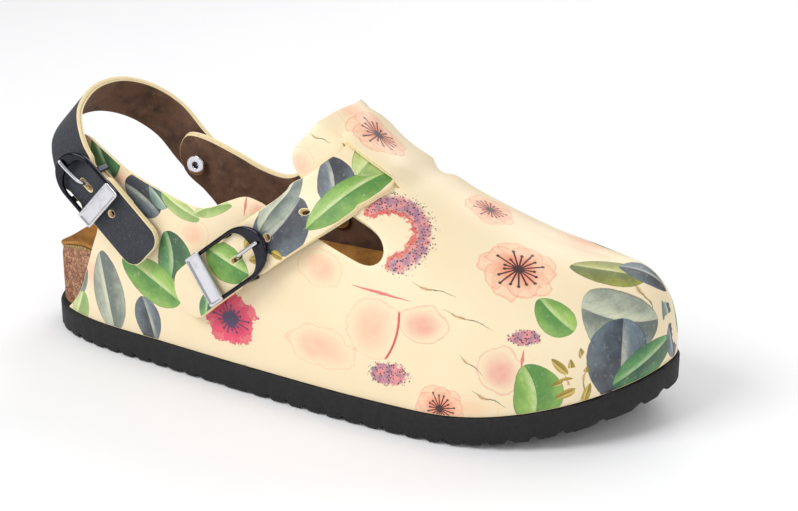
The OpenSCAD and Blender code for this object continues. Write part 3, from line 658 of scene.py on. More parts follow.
def twig(s, ground):
    """A thin broken stroke: brown with a small body, or plain pink for tone 1."""
    x, y, tone = s.layer("twig")
    pink = tone.do("FLOOR")
    line = y - 0.16 * (x * 5.0).do("SINE") * (1 - pink) - (s.noise(2.0, 2) - 0.5) * 0.4 * (1 - 0.7 * pink)
    thick = 0.07 + 0.05 * pink
    thin = s.ramp(thick * (1.2 - size_of(x)) - size_of(line), -0.03, 0.03) * s.ramp(1 - size_of(x), 0.0, 0.1)
    ground = s.mix(ground, s.mix("4d3a26", "dc5a5e", pink), thin * 0.85)
    body = 0.3 - size_of(line) - size_of(x + 0.35) * 0.6
    return s.mix(ground, "c79a62", s.ramp(body, 0.0, 0.08) * 0.55 * (1 - pink))


def printed_leather():
    """Smooth cream leather with a floral watercolour print."""
    s = Shader("printed_leather")
    ground = s.mix("f4e5c2", "efd9b2", s.noise(30, 3))
    ground = s.mix(ground, "f6d3bd", s.ramp(s.noise(22, 3), 0.55, 0.8) * 0.3)
    for name in WASH_LAYERS:
        ground = wash(s, ground, name)
    ground = specks(s, ground)
    ground = blossom(s, ground)
    ground = twig(s, ground)
    for name in LEAF_LAYERS:
        ground = leaf(s, ground, name)
    ground = s.mix(ground, "a98a68", s.ramp(s.noise(0.7, 2), 0.66, 0.85) * 0.12)
    grain = s.cells(0.9) * 0.06 + s.noise(0.35, 2) * 0.05 + s.noise(9, 2) * 0.25
    return s.finish(ground, 0.36 + 0.14 * s.noise(3, 2), grain, 0.35, Coat_Weight=0.12, Coat_Roughness=0.3)


def cut_edge():
    """The raw edge of the leather."""
    s = Shader("cut_edge")
    fibre = s.noise(0.5, 3)
    base = s.mix("ecd29c", "faecc4", fibre)
    base = s.mix(base, "a9855a", s.ramp(s.noise(1.3, 3), 0.62, 0.8) * 0.5)
    return s.finish(base, 0.85, fibre * 0.2, 0.5)


def suede(name, base, deep, pale, nap=0.35):
    """Napped leather: soft patches, a fine pile and a velvety sheen."""
    s = Shader(name)
    patches = s.noise(9, 4, 0.6)
    tone = s.mix(deep, base, s.ramp(patches, 0.3, 0.6))
    tone = s.mix(tone, pale, s.ramp(s.noise(4, 4, 0.65), 0.5, 0.8) * 0.45)
    pile = s.noise(nap, 3, 0.7)
    tone = s.mix(tone, deep, s.ramp(pile, 0.5, 0.75) * 0.35)
    return s.finish(tone, 0.92, pile * 0.3 + patches * 0.2, 0.6, Sheen_Weight=0.35, Sheen_Roughness=0.5,
                    Sheen_Tint=pale)


def pebbled_leather():
    """Charcoal strap leather with a pebble grain, and a painted highlight of pale flecks on the pebble tops.
    """
    s = Shader("pebbled_leather")
    pebble = s.cells(0.85, "SMOOTH_F1")
    # painted highlight: pale flecks that are laid only on the raised pebble tops below
    painted_highlight = s.ramp(s.noise(0.5, 2), 0.5, 0.75)
    base = s.mix("1d1f25", "31343d", s.noise(7, 3))
    # painted highlight: pale grey flecks on the pebble tops, where the cells rise
    base = s.mix(base, "6d7280", painted_highlight * (1 - s.ramp(pebble, 0.1, 0.5)) * 0.7)
    return s.finish(base, 0.5 + 0.2 * s.noise(2, 2), pebble * -0.22 + s.noise(0.3, 2) * 0.05, 0.5)


def cork():
    """Pressed cork granules with dark bark flecks."""
    s = Shader("cork")
    grain = s.node("ShaderNodeTexVoronoi", {"Vector": s.place, "Scale": 1 / 1.9, "Randomness": 1.0})
    crack = s.cells(1.9, "DISTANCE_TO_EDGE")
    tint = s.out(s.node("ShaderNodeSeparateXYZ", {0: s.out(grain, "Color")}))
    base = s.mix("8a5740", "c08f6c", tint)
    base = s.mix(base, "d9ab86", s.ramp(s.noise(0.8, 3), 0.5, 0.75) * 0.5)
    base = s.mix(base, "3b2118", s.ramp(s.noise(1.3, 3), 0.6, 0.68) * 0.8)
    base = s.mix(base, "5b3424", (1 - s.ramp(crack, 0.02, 0.1)) * 0.7)
    return s.finish(base, 0.8, s.ramp(crack, 0.0, 0.15) * 0.3 + s.noise(0.6, 3) * 0.35, 0.8)


def foam_rubber():
    """Black foamed sole rubber with fine pits."""
    s = Shader("foam_rubber")
    pits = s.ramp(s.cells(1.1), 0.1, 0.4)
    base = s.mix("08080a", "141417", s.noise(1.2, 3))
    base = s.mix(base, "3c3c42", s.ramp(s.noise(0.6, 2), 0.66, 0.8) * 0.4)
    return s.finish(base, 0.62 + 0.2 * s.noise(2, 2), pits * 0.3 + s.noise(0.5, 3) * 0.4, 0.5)


def woven_jute():
    s = Shader("woven_jute")
    threads = {"Vector": s.place, "Scale": 0.35, "Distortion": 1.0}
    warp = s.node("ShaderNodeTexWave", threads, bands_direction="X")
    weft = s.node("ShaderNodeTexWave", threads, bands_direction="Y")
    weave = greatest(s.out(warp, 1), s.out(weft, 1))
    base = s.mix("7d6238", "c2a068", weave * s.noise(0.6, 2) * 1.4)
    return s.finish(base, 0.9, weave * 0.6, 0.8)


def metal(name, base, tarnish, rough):
    """Polished plating with faint hand marks."""
    s = Shader(name)
    marks = s.noise(5, 4, 0.6)
    shade = s.mix(base, tarnish, s.ramp(marks, 0.45, 0.85) * 0.5)
    scratch = s.noise(0.4, 3, 0.7)
    return s.finish(shade, rough + 0.08 * s.ramp(marks, 0.4, 0.8), scratch * 0.02, 0.2, Metallic=1.0)


PRINT = printed_leather()
CUT_EDGE = cut_edge()
BROWN_SUEDE = suede("brown_suede", "70523f", "4d372b", "9a7b66")
TAN_SUEDE = suede("tan_suede", "b07a36", "8a5a22", "cf9c58", 0.5)
CHARCOAL = pebbled_leather()
CORK = cork()
FOAM = foam_rubber()
JUTE = woven_jute()
DARK_METAL = metal("dark_metal", "34343a", "1c1c20", 0.06)
BRIGHT_METAL = metal("bright_metal", "d2d2d6", "9a9aa0", 0.12)

# ---- Sole and footbed --------------------------------------------------------------


def tread(x, y):
    """Waved grooves across the underside, so that they notch its edge."""
    phase = (x + 2.6 * np.sin(y / 7.5)) / 8.2
    groove = ramp(np.cos(2 * np.pi * phase), 0.35, 0.95)
    shank = ramp(x, 92, 99) * ramp(x, 118, 111)
    fine = ramp(np.cos(2 * np.pi * (x * 0.6 + y) / 6.5), 0.6, 1)
    return 1.7 * groove * (1 - shank) + 0.8 * fine * shank


def outsole_surface(q, depth):
    """Depth 0 is the underside, depth 1 the top."""
    x, y = q.T
    below = rise(x) + tread(x, y)
    return np.column_stack([x, y, mixed(below, OUTSOLE_T + rise(x), depth)])


def outline_loop(inset, step):
    w = np.linspace(0, STATIONS, 400)
    outer = edge(w, np.full(400, -1), np.full(400, inset))
    inner = edge(w, np.full(400, 1), np.full(400, inset))
    return even(np.vstack([outer, inner[-2:0:-1]]), step, closed=True)


def footbed_columns():
    """Stations round the sole: (u, side) for each column."""
    u = np.concatenate([np.linspace(0, 1, 22), np.linspace(1.06, 8, 110), np.linspace(8.05, STATIONS, 20)])
    return np.concatenate([u, u[-2:0:-1]]), np.concatenate([np.full(len(u), -1), np.full(len(u) - 2, 1)])


def bed_middle(u):
    middle = smooth(u, [[0, 25], [2, 23.5], [3, 24.5], [4.2, 27], [5.2, 24.5], [6.5, 23], [9, 22]])
    return middle + rise(along(CENTRE, u)[:, 0])


def bed_rim(u, side):
    outer = smooth(u, [[0, 33], [1, 37], [1.8, 41], [3, 36], [4.5, 30], [6, 27], [9, 25]])
    inner = smooth(u, [[0, 33], [1, 38], [2, 42], [3, 40], [4.5, 36], [6, 28], [9, 25]])
    return np.where(side < 0, outer, inner) + rise(edge(u, side, 0)[:, 0])


def side_gap(u):
    """From the outline to the side of the cork: less round the open heel than under the upper."""
    return smooth(u, [[0, 2], [0.9, 2], [1.25, 4], [9, 4]])


def core_side(u, side, z, inset=0.0):
    """Point on the footbed's side at height z."""
    z0 = seat(u, side) + LAYER_GAP
    n = smooth(u, FULLNESS)
    high = np.clip((z - z0) / (along(CREST, u)[:, 2] - z0), 0, 1)
    v = 1 - np.arcsin(high ** (n / 2)) / (np.pi / 2)
    p = arch(u, v * side, side_gap(u) + inset - WELT)
    return np.column_stack([p[:, 0], p[:, 1], z])


def bed_row(u, side, share, drop):
    """A row of the dished top: share 1 at the rim to 0 in the middle."""
    high = bed_rim(u, side) - drop
    p, c = core_side(u, side, high), along(CENTRE, u)
    z = mixed(bed_middle(u) - drop, high, share ** 2.6)
    return np.column_stack([mixed(c[:, 0], p[:, 0], share), mixed(c[:, 1], p[:, 1], share), z])


def cork_part():
    u, side = footbed_columns()
    c = along(CENTRE, u)
    low = seat(u, side) + LAYER_GAP + 1
    drop = 1.2 + 1 + 2 * LAYER_GAP
    high = bed_rim(u, side) - drop
    rows = [np.column_stack([c[:, 0], c[:, 1], low])]
    rows += [core_side(u, side, mixed(low, high, f), 0.5 * (f > 0.99)) for f in np.linspace(0, 1, 9)]
    rows += [bed_row(u, side, share, drop) for share in (0.95, 0.8, 0.6, 0.3)]
    rows.append(np.column_stack([c[:, 0], c[:, 1], bed_middle(u) - drop]))
    return rings(np.stack(rows, 1))


def liner_part():
    """Suede over the footbed, rolled round the rim of the heel cup."""
    u, side = footbed_columns()
    c, high = along(CENTRE, u), bed_rim(u, side)
    rows = [bed_row(u, side, share, 1.2) for share in (0, 0.5, 0.8, 0.93)]
    for angle in np.linspace(-90, 90, 7):
        a = math.radians(angle)
        p = core_side(u, side, high - 0.6 + 0.6 * math.sin(a), 0.2)
        rows.append(p + np.column_stack([unit(p[:, :2] - c[:, :2]) * 0.55 * math.cos(a), 0 * u]))
    rows += [bed_row(u, side, share, 0) for share in (0.97, 0.9, 0.8, 0.65, 0.5, 0.35, 0.2, 0.1, 0)]
    return rings(np.stack(rows, 1))


def build_sole():
    outsole = sheet([outline_loop(0, 1.4)], outsole_surface, 0, 1, 1.3, bevel=0.9)
    make("outsole_look", outsole, "clog", ["outsole"], "sole_foam", [FOAM], 50)
    make("cork_core_look", cork_part(), "clog", ["cork_core"], "cork", [CORK])
    make("footbed_liner_look", liner_part(), "clog", ["footbed_liner"], "liner_suede", [TAN_SUEDE])
    for node in ("lower_jute", "upper_jute"):
        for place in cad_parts[node].material_slots:
            place.material = JUTE


# ---- Upper ---------------------------------------------------------------------------

# Cut lines from the back of the sole to the flap, as (station, height):
# height is 0 at the sole and 1 at the crest
OUTER_CUT = [(1.3, 0), (1.3, 0), (1.55, 0.014), (1.78, 0.04), (1.95, 0.08), (2.1, 0.125), (2.17, 0.15),
             (2.12, 0.176), (2.0, 0.19), (1.89, 0.201), (1.82, 0.218), (1.79, 0.245), (1.81, 0.275),
             (1.88, 0.299), (2.0, 0.309), (2.29, 0.298), (2.6, 0.281), (3.0, 0.276), (3.32, 0.283),
             (3.52, 0.305), (3.7, 0.35), (3.86, 0.392), (4.0, 0.405), (4.0, 0.405)]
INNER_CUT = [(1.3, 0), (1.3, 0), (1.55, 0.013), (1.8, 0.033), (2.05, 0.057), (2.35, 0.085), (2.6, 0.108),
             (2.66, 0.124), (2.6, 0.142), (2.46, 0.164), (2.34, 0.176), (2.25, 0.19), (2.2, 0.214),
             (2.21, 0.236), (2.27, 0.257), (2.36, 0.268), (2.55, 0.271), (2.86, 0.263), (3.15, 0.253),
             (3.4, 0.262), (3.58, 0.3), (3.74, 0.355), (3.88, 0.393), (4.0, 0.405), (4.0, 0.405)]
SLOT = (4.81, 5.03, 0.405, 0.552)
FLAP_BACK = [(4.36, 0.552), (4.36, 0.552), (4.27, 0.558), (4.2, 0.58), (4.17, 0.62), (4.18, 0.66),
             (4.21, 0.72), (4.25, 0.8), (4.28, 0.9), (4.3, 1.0)]


def slot_end():
    """The round front end of the slot between the quarter and the flap."""
    straight, front, low, high = SLOT
    a = np.linspace(-np.pi / 2, np.pi / 2, 24)
    reach, middle, half = front - straight, (low + high) / 2, (high - low) / 2
    return np.column_stack([straight + reach * np.cos(a) ** 0.85, middle + half * np.sin(a)])


def upper_outline(step):
    """The whole cut line of the upper in sheet millimetres, round from the toe."""
    loop = []
    for cut, side in ((OUTER_CUT, -1), (INNER_CUT, 1)):
        line = np.vstack([flowing(cut), slot_end(), flowing(FLAP_BACK)])
        line = even(np.column_stack([line[:, 0], side * (1 - line[:, 1])]) * SHEET, step)
        foot = even(np.array([[STATIONS, side], [line[0, 0] / SHEET[0], side]]) * SHEET, step)
        one = np.vstack([foot[:-1], line])
        loop.append(one if side < 0 else one[-2::-1])
    tip = even(np.array([[STATIONS, 1], [STATIONS, -1]]) * SHEET, step)
    return np.vstack(loop + [tip[1:-1]])


def slit(side):
    """A thin cut beside the bridge, with small round ends."""
    a = np.linspace(0, np.pi, 7)
    middle, half = SLIT_V + SLIT_W / 2, SLIT_W / 2
    front = np.column_stack([SLIT_TO + 0.02 * np.sin(a), middle - half * np.cos(a)])
    back = np.column_stack([SLIT_FROM - 0.02 * np.sin(a), middle + half * np.cos(a)])
    return even(np.vstack([front, back]) * [1, side] * SHEET, 0.9, closed=True)


def round_hole(surface, place, r, count=20):
    """A round hole of radius r round a place on a sheet."""
    e = 0.2
    steps = np.array([[e, 0], [-e, 0], [0, e], [0, -e]])
    p = surface(steps + place, 0)
    across = np.column_stack([(p[0] - p[1]) / (2 * e), (p[2] - p[3]) / (2 * e)])
    x = unit(across[:, 0])
    z = unit(np.cross(x, across[:, 1]))
    flat = np.vstack([x, np.cross(z, x)]) @ across
    a = np.linspace(0, 2 * np.pi, count, endpoint=False)
    return place + (np.linalg.inv(flat) @ (r * np.vstack([np.cos(a), np.sin(a)]))).T


def place_on(surface, target, start, known):
    """The place on a sheet whose point agrees with the target in the known coordinates."""
    q = np.array([start], float)
    for _ in range(12):
        p = surface(q, 0)[0]
        slope = np.column_stack([surface(q + [[0.1, 0]], 0)[0] - p, surface(q + [[0, 0.1]], 0)[0] - p]) / 0.1
        q = q + np.linalg.solve(slope[known], (np.asarray(target, float) - p)[known])
    return q[0]


RIVET_HOLE = 2.0
PIVOT = np.array([49.5 * K, 0, 63.5 * K])
OUTER_PLANE = -31.9 * K
INNER_PLANE = 30.4 * K

# The instep strap: where its buckle sits, and its line over the foot
BUCKLE_AT = np.array([3.918, -0.752]) * SHEET
STRAP_TOP = np.array([4.609, -0.4]) * SHEET
OVER_U = [[-0.47, 4.498], [-0.4, 4.587], [-0.34, 4.649], [-0.24, 4.722], [0.22, 4.725], [0.4, 4.56],
          [0.6, 4.29], [0.82, 3.86]]
OVER_DU = [[-0.47, 0.262], [-0.4, 0.246], [-0.34, 0.228], [-0.24, 0.217], [0.22, 0.215], [0.6, 0.2],
           [0.82, 0.17]]
OVER_DV = [[-0.47, 0.04], [-0.4, 0.035], [-0.24, 0], [0.24, 0], [0.4, -0.035], [0.82, -0.05]]
OVER_FROM, OVER_END = -0.47, 0.82
STRAP_RIVETS = [0.71, 0.785]
TAIL, FLAT_TO = 37.4, 17.0
BAR_R, BAR_Z, BAR_TO_RIVET, LOOP_T = 0.9, 1.95, 12.5, 0.8
FRAME_HALF, ARM_T = 8.6, 1.5
STRAP_Z = BAR_Z + BAR_R + 0.06 + LOOP_T + 0.12
BOW_Z = STRAP_Z + STRAP_T + 0.5


def instep_frame():
    """The buckle's own axes on the outer quarter, as a function from its millimetres to the clog's."""
    p = upper(np.vstack([BUCKLE_AT, BUCKLE_AT + [0.5, 0], BUCKLE_AT + [0, 0.5], STRAP_TOP]), 0)
    z = unit(np.cross(p[1] - p[0], p[2] - p[0]))
    way = p[3] - p[0]
    x = unit(way - z * (way @ z))
    y = np.cross(z, x)
    return lambda local: p[0] + np.asarray(local, float) @ np.vstack([x, y, z])


def heel_frame(local):
    """From the heel strap's tilted axes, centred on its pivot, to the clog's."""
    a = math.radians(180 + HEEL_STRAP_TILT)
    turn = np.array([[math.cos(a), 0, -math.sin(a)], [0, 1, 0], [math.sin(a), 0, math.cos(a)]])
    return PIVOT + np.asarray(local, float) @ turn


def heel_buckle_frame(local):
    """The heel buckle's axes: x along the strap, y across it, z out of the shoe."""
    x, y, z = np.asarray(local, float).reshape(-1, 3).T
    return heel_frame(np.column_stack([x + BAR_TO_RIVET, OUTER_PLANE - z, y]))


def heel_pivot_frame(local):
    """The inner ear's rivet: z out of the shoe."""
    x, y, z = np.asarray(local, float).reshape(-1, 3).T
    return heel_frame(np.column_stack([x, z, -y]))


at_instep = instep_frame()


def strap_end_frame(v):
    """Axes on the inner quarter at one of the instep strap's rivets."""
    u = float(np.interp(v, *np.array(OVER_U).T))
    steps = np.array([[u, v], [u + 0.05, v], [u - 0.05, v], [u, v + 0.02], [u, v - 0.02]])
    p = arch(steps[:, 0], steps[:, 1], 0)
    x = unit(p[1] - p[2])
    z = unit(np.cross(p[3] - p[4], x))
    z = z if z[1] > 0 else -z
    return lambda local: p[0] + np.asarray(local, float) @ np.vstack([x, np.cross(z, x), z])


def build_upper():
    outline = upper_outline(1.5)
    outer = place_on(upper, PIVOT, (2.1 * SHEET[0], -0.75 * SHEET[1]), [0, 2])
    inner = place_on(upper, PIVOT, (2.5 * SHEET[0], 0.78 * SHEET[1]), [0, 2])
    pivots = [round_hole(upper, place, RIVET_HOLE) for place in (outer, inner)]
    loops = [outline, slit(-1), slit(1)] + pivots
    shell = sheet(loops, upper, 0, LEATHER_T, 1.9, motifs=UPPER_PRINT)
    make("upper_shell_look", shell, "clog", ["upper_shell"], "printed_leather", [PRINT, CUT_EDGE, CUT_EDGE])
    top = LEATHER_T + SKIN_GAP
    lining = sheet(loops, upper, top, top + LINING_T, 2.4, bevel=0.2, steps=2)
    make("upper_lining_look", lining, "clog", ["upper_lining"], "brown_suede",
         [BROWN_SUEDE, CUT_EDGE, BROWN_SUEDE])


# ---- Straps ----------------------------------------------------------------------------


def strap_rise(x):
    return smooth(x, [[-TAIL, -1.6], [-30, 0.3], [-21, 2.5], [-9, STRAP_Z], [4, STRAP_Z],
                      [FLAT_TO, STRAP_Z - 0.6]])


def flat_part(x, w, h):
    return at_instep(np.column_stack([x, w * STRAP_W / 2, strap_rise(x) + h]))


def over_part(v, w, h):
    u = smooth(v, OVER_U) - w * smooth(v, OVER_DU)
    return arch(u, v - w * smooth(v, OVER_DV), -0.35 - h)


def span_part(f, w, h):
    """A smooth span from the flat part over the slot to the part that follows the foot."""
    x0, v0 = np.full(len(f), FLAT_TO), np.full(len(f), OVER_FROM)
    p, q = flat_part(x0, w, h), over_part(v0, w, h)
    dp = (p - flat_part(x0 - 6, w, h)) * 4
    dq = (over_part(v0 + 0.04, w, h) - q) * 5
    f = f[:, None]
    return (p * (1 - 3 * f**2 + 2 * f**3) + q * (3 * f**2 - 2 * f**3)
            + dp * (f - 2 * f**2 + f**3) + dq * (f**3 - f**2))


def run_of(part, start, end):
    """Length of a stretch of the instep strap along its middle."""
    at = np.linspace(start, end, 60)
    p = part(at, np.zeros(60), np.zeros(60))
    return np.linalg.norm(np.diff(p, axis=0), axis=1).sum()


SPAN_L = run_of(span_part, 0, 1)
OVER_L = run_of(over_part, OVER_FROM, OVER_END)


def instep_surface(q, depth):
    """The instep strap: q is millimetres along from its centre bar, and across."""
    s, w, h = q[:, 0], q[:, 1] / (STRAP_W / 2), np.full(len(q), STRAP_T - depth)
    flat = flat_part(np.minimum(s, FLAT_TO), w, h)
    span = span_part(np.clip((s - FLAT_TO) / SPAN_L, 0, 1), w, h)
    v = OVER_FROM + np.clip((s - FLAT_TO - SPAN_L) / OVER_L, 0, 1) * (OVER_END - OVER_FROM)
    over = over_part(v, w, h)
    on_flat, on_span = (s <= FLAT_TO)[:, None], (s <= FLAT_TO + SPAN_L)[:, None]
    return np.where(on_flat, flat, np.where(on_span, span, over))


def band(start, end, r_start, r_end, bar, step=0.9):
    """Outline of a strap between two places along it, with round corners and a waist at the buckle's bar."""
    half = STRAP_W / 2
    a = np.linspace(0, np.pi / 2, 9)
    corners = [(end - r_end, half - r_end, r_end, 0), (start + r_start, half - r_start, r_start, 1),
               (start + r_start, r_start - half, r_start, 2), (end - r_end, r_end - half, r_end, 3)]
    points = [np.column_stack([x + r * np.cos(a + k * np.pi / 2), y + r * np.sin(a + k * np.pi / 2)])
              for x, y, r, k in corners]
    loop = even(np.vstack(points), step, closed=True)
    room = half - (half - FRAME_HALF + 0.3) * ramp(np.abs(loop[:, 0] - bar), 6, 2.6)
    loop[:, 1] = np.clip(loop[:, 1], -room, room)
    return loop


def circle(x, y, r, count=18):
    a = np.linspace(0, 2 * np.pi, count, endpoint=False)
    return np.column_stack([x + r * np.cos(a), y + r * np.sin(a)])


def prong_slot(x):
    """Oval slot that lets the prong through a strap."""
    a = np.linspace(-np.pi / 2, np.pi / 2, 8)
    front = np.column_stack([x + 1.9 + np.cos(a), 0.98 * np.sin(a)])
    return np.vstack([front, front[::-1] * [-1, 1] + [2 * x - 0.4, 0]])


class Ribbon:
    """A strap along a flat path: q is millimetres along it and across it."""

    def __init__(self, path, frame_of, axis):
        self.path = even(path, 0.4)
        self.normal = unit(np.gradient(self.path, axis=0)) @ np.array([[0, -1.0], [1, 0]])
        self.length = np.linalg.norm(np.diff(self.path, axis=0), axis=1).sum()
        self.frame_of, self.axis = frame_of, axis

    def __call__(self, q, depth):
        at = np.clip(q[:, 0] / self.length, 0, 1) * (len(self.path) - 1)
        i = np.clip(at.astype(int), 0, len(self.path) - 2)
        f = (at - i)[:, None]
        p = mixed(self.path[i], self.path[i + 1], f)
        p = p + mixed(self.normal[i], self.normal[i + 1], f) * (STRAP_T - depth)
        return self.frame_of(np.insert(p, self.axis, q[:, 1], axis=1))


Y_TAIL = OUTER_PLANE - STRAP_Z
HEEL_PATH = [[-24, Y_TAIL - 0.3], [-12, Y_TAIL - 0.1], [-4, Y_TAIL], [6, Y_TAIL], [17, Y_TAIL],
             [26, Y_TAIL + 3.4], [36, -24], [42, -12], [44, 0], [42, 13], [34.5, 24.5],
             [23, INNER_PLANE + 0.4], [10, INNER_PLANE], [0, INNER_PLANE], [-8, INNER_PLANE],
             [-13, INNER_PLANE]]


def build_heel_strap():
    path = along(HEEL_PATH, np.linspace(0, len(HEEL_PATH) - 1, 300))
    ribbon = Ribbon(path, heel_frame, 2)
    bar, pivot = 24 + BAR_TO_RIVET, ribbon.length - 13
    loops = [band(0, ribbon.length, 6, 9.3, bar), circle(bar - 15, 0, 1.4), prong_slot(bar),
             circle(pivot, 0, 1.9)]
    strap = sheet(loops, ribbon, 0, LEATHER_T, 1.5)
    make("heel_strap_look", strap, "heel_strap", ["heel_strap"], "black_leather",
         [CHARCOAL, CUT_EDGE, CUT_EDGE])
    backing = sheet(loops, ribbon, LEATHER_T + SKIN_GAP, STRAP_T, 1.5, bevel=0.2, steps=2)
    make("heel_strap_backing_look", backing, "heel_strap", ["heel_strap_backing"], "brown_suede",
         [BROWN_SUEDE, CUT_EDGE, BROWN_SUEDE])


def build_instep_strap():
    end = FLAT_TO + SPAN_L + OVER_L
    rivets = [(v - OVER_FROM) / (OVER_END - OVER_FROM) * OVER_L + FLAT_TO + SPAN_L for v in STRAP_RIVETS]
    loops = [band(-TAIL, end, 8.5, 8, 0), prong_slot(0), circle(15.8, 0, 1.4), circle(31.8, 0, 1.4)]
    loops += [circle(s, 0, 1.9) for s in rivets]
    strap = sheet(loops, instep_surface, 0, LEATHER_T, 1.5, motifs=STRAP_PRINT)
    make("instep_strap_look", strap, "clog", ["instep_strap"], "printed_leather", [PRINT, CUT_EDGE, CUT_EDGE])
    backing = sheet(loops, instep_surface, LEATHER_T + SKIN_GAP, STRAP_T, 1.6, bevel=0.2, steps=2)
    make("instep_strap_backing_look", backing, "clog", ["instep_strap_backing"], "brown_suede",
         [BROWN_SUEDE, CUT_EDGE, BROWN_SUEDE])


# ---- Buckles and rivets ------------------------------------------------------------------

BOW_FROM, BOW_X, BOW_T = 3, 9.5, 1.9
PLATE_L = 7.0
# The plate's far edge and the bow's outer edge, from the centre bar
INSTEP_SPAN, HEEL_SPAN = (-19, 15.8), (-13, 14.5)


def slab(loops, low, high, frame_of, bevel, cell=1.2):
    """A flat plate with rounded edges."""

    def surface(q, depth):
        return frame_of(np.column_stack([q, mixed(np.full(len(q), high), np.full(len(q), low), depth)]))

    return sheet(loops, surface, 0, 1, cell, bevel=bevel, steps=5)


def rounded(x0, x1, half, r):
    a = np.linspace(0, np.pi / 2, 7)
    corners = [(x1 - r, half - r, 0), (x0 + r, half - r, 1), (x0 + r, r - half, 2), (x1 - r, r - half, 3)]
    return np.vstack([np.column_stack([x + r * np.cos(a + k * np.pi / 2), y + r * np.sin(a + k * np.pi / 2)])
                      for x, y, k in corners])


def d_shape(back, tip, half):
    """A D: straight from the back, then half an ellipse up to its tip."""
    a = np.linspace(-np.pi / 2, np.pi / 2, 40)
    oval = np.column_stack([BOW_FROM + (tip - BOW_FROM) * np.cos(a), half * np.sin(a)])
    return even(np.vstack([[[back, -half]], oval, [[back, half]]]), 0.7, closed=True)


def buckle_frame(frame_of, span):
    """A D frame: a bar under the plate, two slim arms and a wide bow, with the strap's bar below."""
    w, back = FRAME_HALF + ARM_T, span[0] + 2
    loops = [d_shape(back, span[1], w), d_shape(back + 2.6, BOW_X, FRAME_HALF)]
    ring = slab(loops, BOW_Z, BOW_Z + BOW_T, frame_of, 0.72, 0.7)
    lugs = [slab([rounded(-1.3, 1.3, 0.7, 0.5) + [0, s * (FRAME_HALF + ARM_T / 2)]], BAR_Z - 1.2, BOW_Z + 0.6,
                 frame_of, 0.5) for s in (-1, 1)]
    bar = rod(np.linspace([0, -w + 0.2, BAR_Z], [0, w - 0.2, BAR_Z], 24), 2 * BAR_R, 2 * BAR_R, frame_of)
    return joined(ring, bar, *lugs)


def buckle_plate(frame_of, span):
    """A blank name plate with a raised border."""
    half = FRAME_HALF + ARM_T + 0.3
    low, high = BOW_Z + BOW_T + 0.03, BOW_Z + BOW_T + 1.13

    def surface(q, depth):
        x, y = q[:, 0] - span[0] - PLATE_L / 2, q[:, 1]
        border = np.minimum(PLATE_L / 2 - np.abs(x), half - np.abs(y))
        top = high - 0.35 * ramp(border, 0.8, 1.2)
        return frame_of(np.column_stack([q, mixed(top, np.full(len(q), low), depth)]))

    loop = even(rounded(span[0], span[0] + PLATE_L, half, 0.9), 0.45, closed=True)
    return sheet([loop], surface, 0, 1, 0.45, bevel=0.35, steps=4)


def buckle_prong(frame_of):
    """A flat rod that wraps the centre bar and rests on the bow."""
    top = BOW_Z + BOW_T + 0.85
    path = flowing([(0.1, 0, 2.9), (0.3, 0, BOW_Z - 1.2), (2.8, 0, BOW_Z + BOW_T - 0.2),
                    (BOW_X - 0.5, 0, top), (BOW_X + 4.2, 0, top)])
    blade = rod(even(path, 0.35), 1.6, 1.5, frame_of)
    a = np.linspace(0, 2 * np.pi, 40, endpoint=False)
    reach = BAR_R + 0.06 + 0.4
    b = np.linspace(0, 2 * np.pi, 12, endpoint=False)
    eye = np.array([[((reach + 0.36 * math.cos(t)) * math.cos(c), 0.8 * math.sin(t),
                      BAR_Z + (reach + 0.36 * math.cos(t)) * math.sin(c))
                     for t in np.append(b, b[0])] for c in a])
    ring = rings(eye)
    ring.points = frame_of(ring.points)
    return joined(blade, ring)


def buckle_loop(frame_of):
    """The tab of strap leather that holds the centre bar, folded round it and riveted."""
    tail, r = -BAR_TO_RIVET - 5, BAR_R + 0.06
    a = np.linspace(-np.pi / 2, np.pi * 0.86, 40)
    turn = np.column_stack([r * np.cos(a), BAR_Z + r * np.sin(a)])
    low = np.array([[tail, 0.98], [-3, 0.98]])
    back = np.array([[-3.4, 1.78 + 0.05], [tail, 1.78]])
    path = np.vstack([low, turn, back])
    path = even(path, 0.5)
    smoothed = path.copy()
    for _ in range(3):
        smoothed[1:-1] = (smoothed[:-2] + 2 * smoothed[1:-1] + smoothed[2:]) / 4
    normal = unit(np.gradient(smoothed, axis=0)) @ np.array([[0, -1.0], [1, 0]])
    run = np.linalg.norm(np.diff(smoothed, axis=0), axis=1).sum()

    def surface(q, depth):
        at = np.clip(q[:, 0] / run, 0, 1) * (len(smoothed) - 1)
        i = np.clip(at.astype(int), 0, len(smoothed) - 2)
        f = (at - i)[:, None]
        p = mixed(smoothed[i], smoothed[i + 1], f)
        p = p + mixed(normal[i], normal[i + 1], f) * (LOOP_T - 0.02 - depth)
        return frame_of(np.column_stack([p[:, 0], q[:, 1], p[:, 1]]))

    middle = run / 2
    loops = [even(rounded(0, run, 7.5, 0.8), 0.7, closed=True), rounded(middle - 3.4, middle + 3.4, 1.2, 0.6)]
    loops += [circle(5, 0, 1.9), circle(run - 5, 0, 1.9)]
    return sheet(loops, surface, 0, LOOP_T - 0.02, 0.8, bevel=0.2, steps=2)


RIVET_R, FLANGE_R, FLANGE_T = 2.0, 4.2, 0.7


def hollow_rivet(frame_of, low, high):
    """A flanged barrel with a rolled mouth."""
    a = np.linspace(0, np.pi, 7)
    rim = FLANGE_R - FLANGE_T / 2
    flange = [(rim + FLANGE_T / 2 * math.sin(t), low - FLANGE_T / 2 + FLANGE_T / 2 * math.cos(t)) for t in a]
    bore = RIVET_R - 0.75
    roll = [(bore + 0.5 * (1 - math.sin(t)), low - FLANGE_T + 0.5 * (1 - math.cos(t)) - 0.05)
            for t in np.linspace(0, np.pi / 2, 5)]
    profile = [(RIVET_R, high), (RIVET_R, low)] + flange + roll + [(bore, high), (RIVET_R, high)]
    return lathe(profile, frame_of)


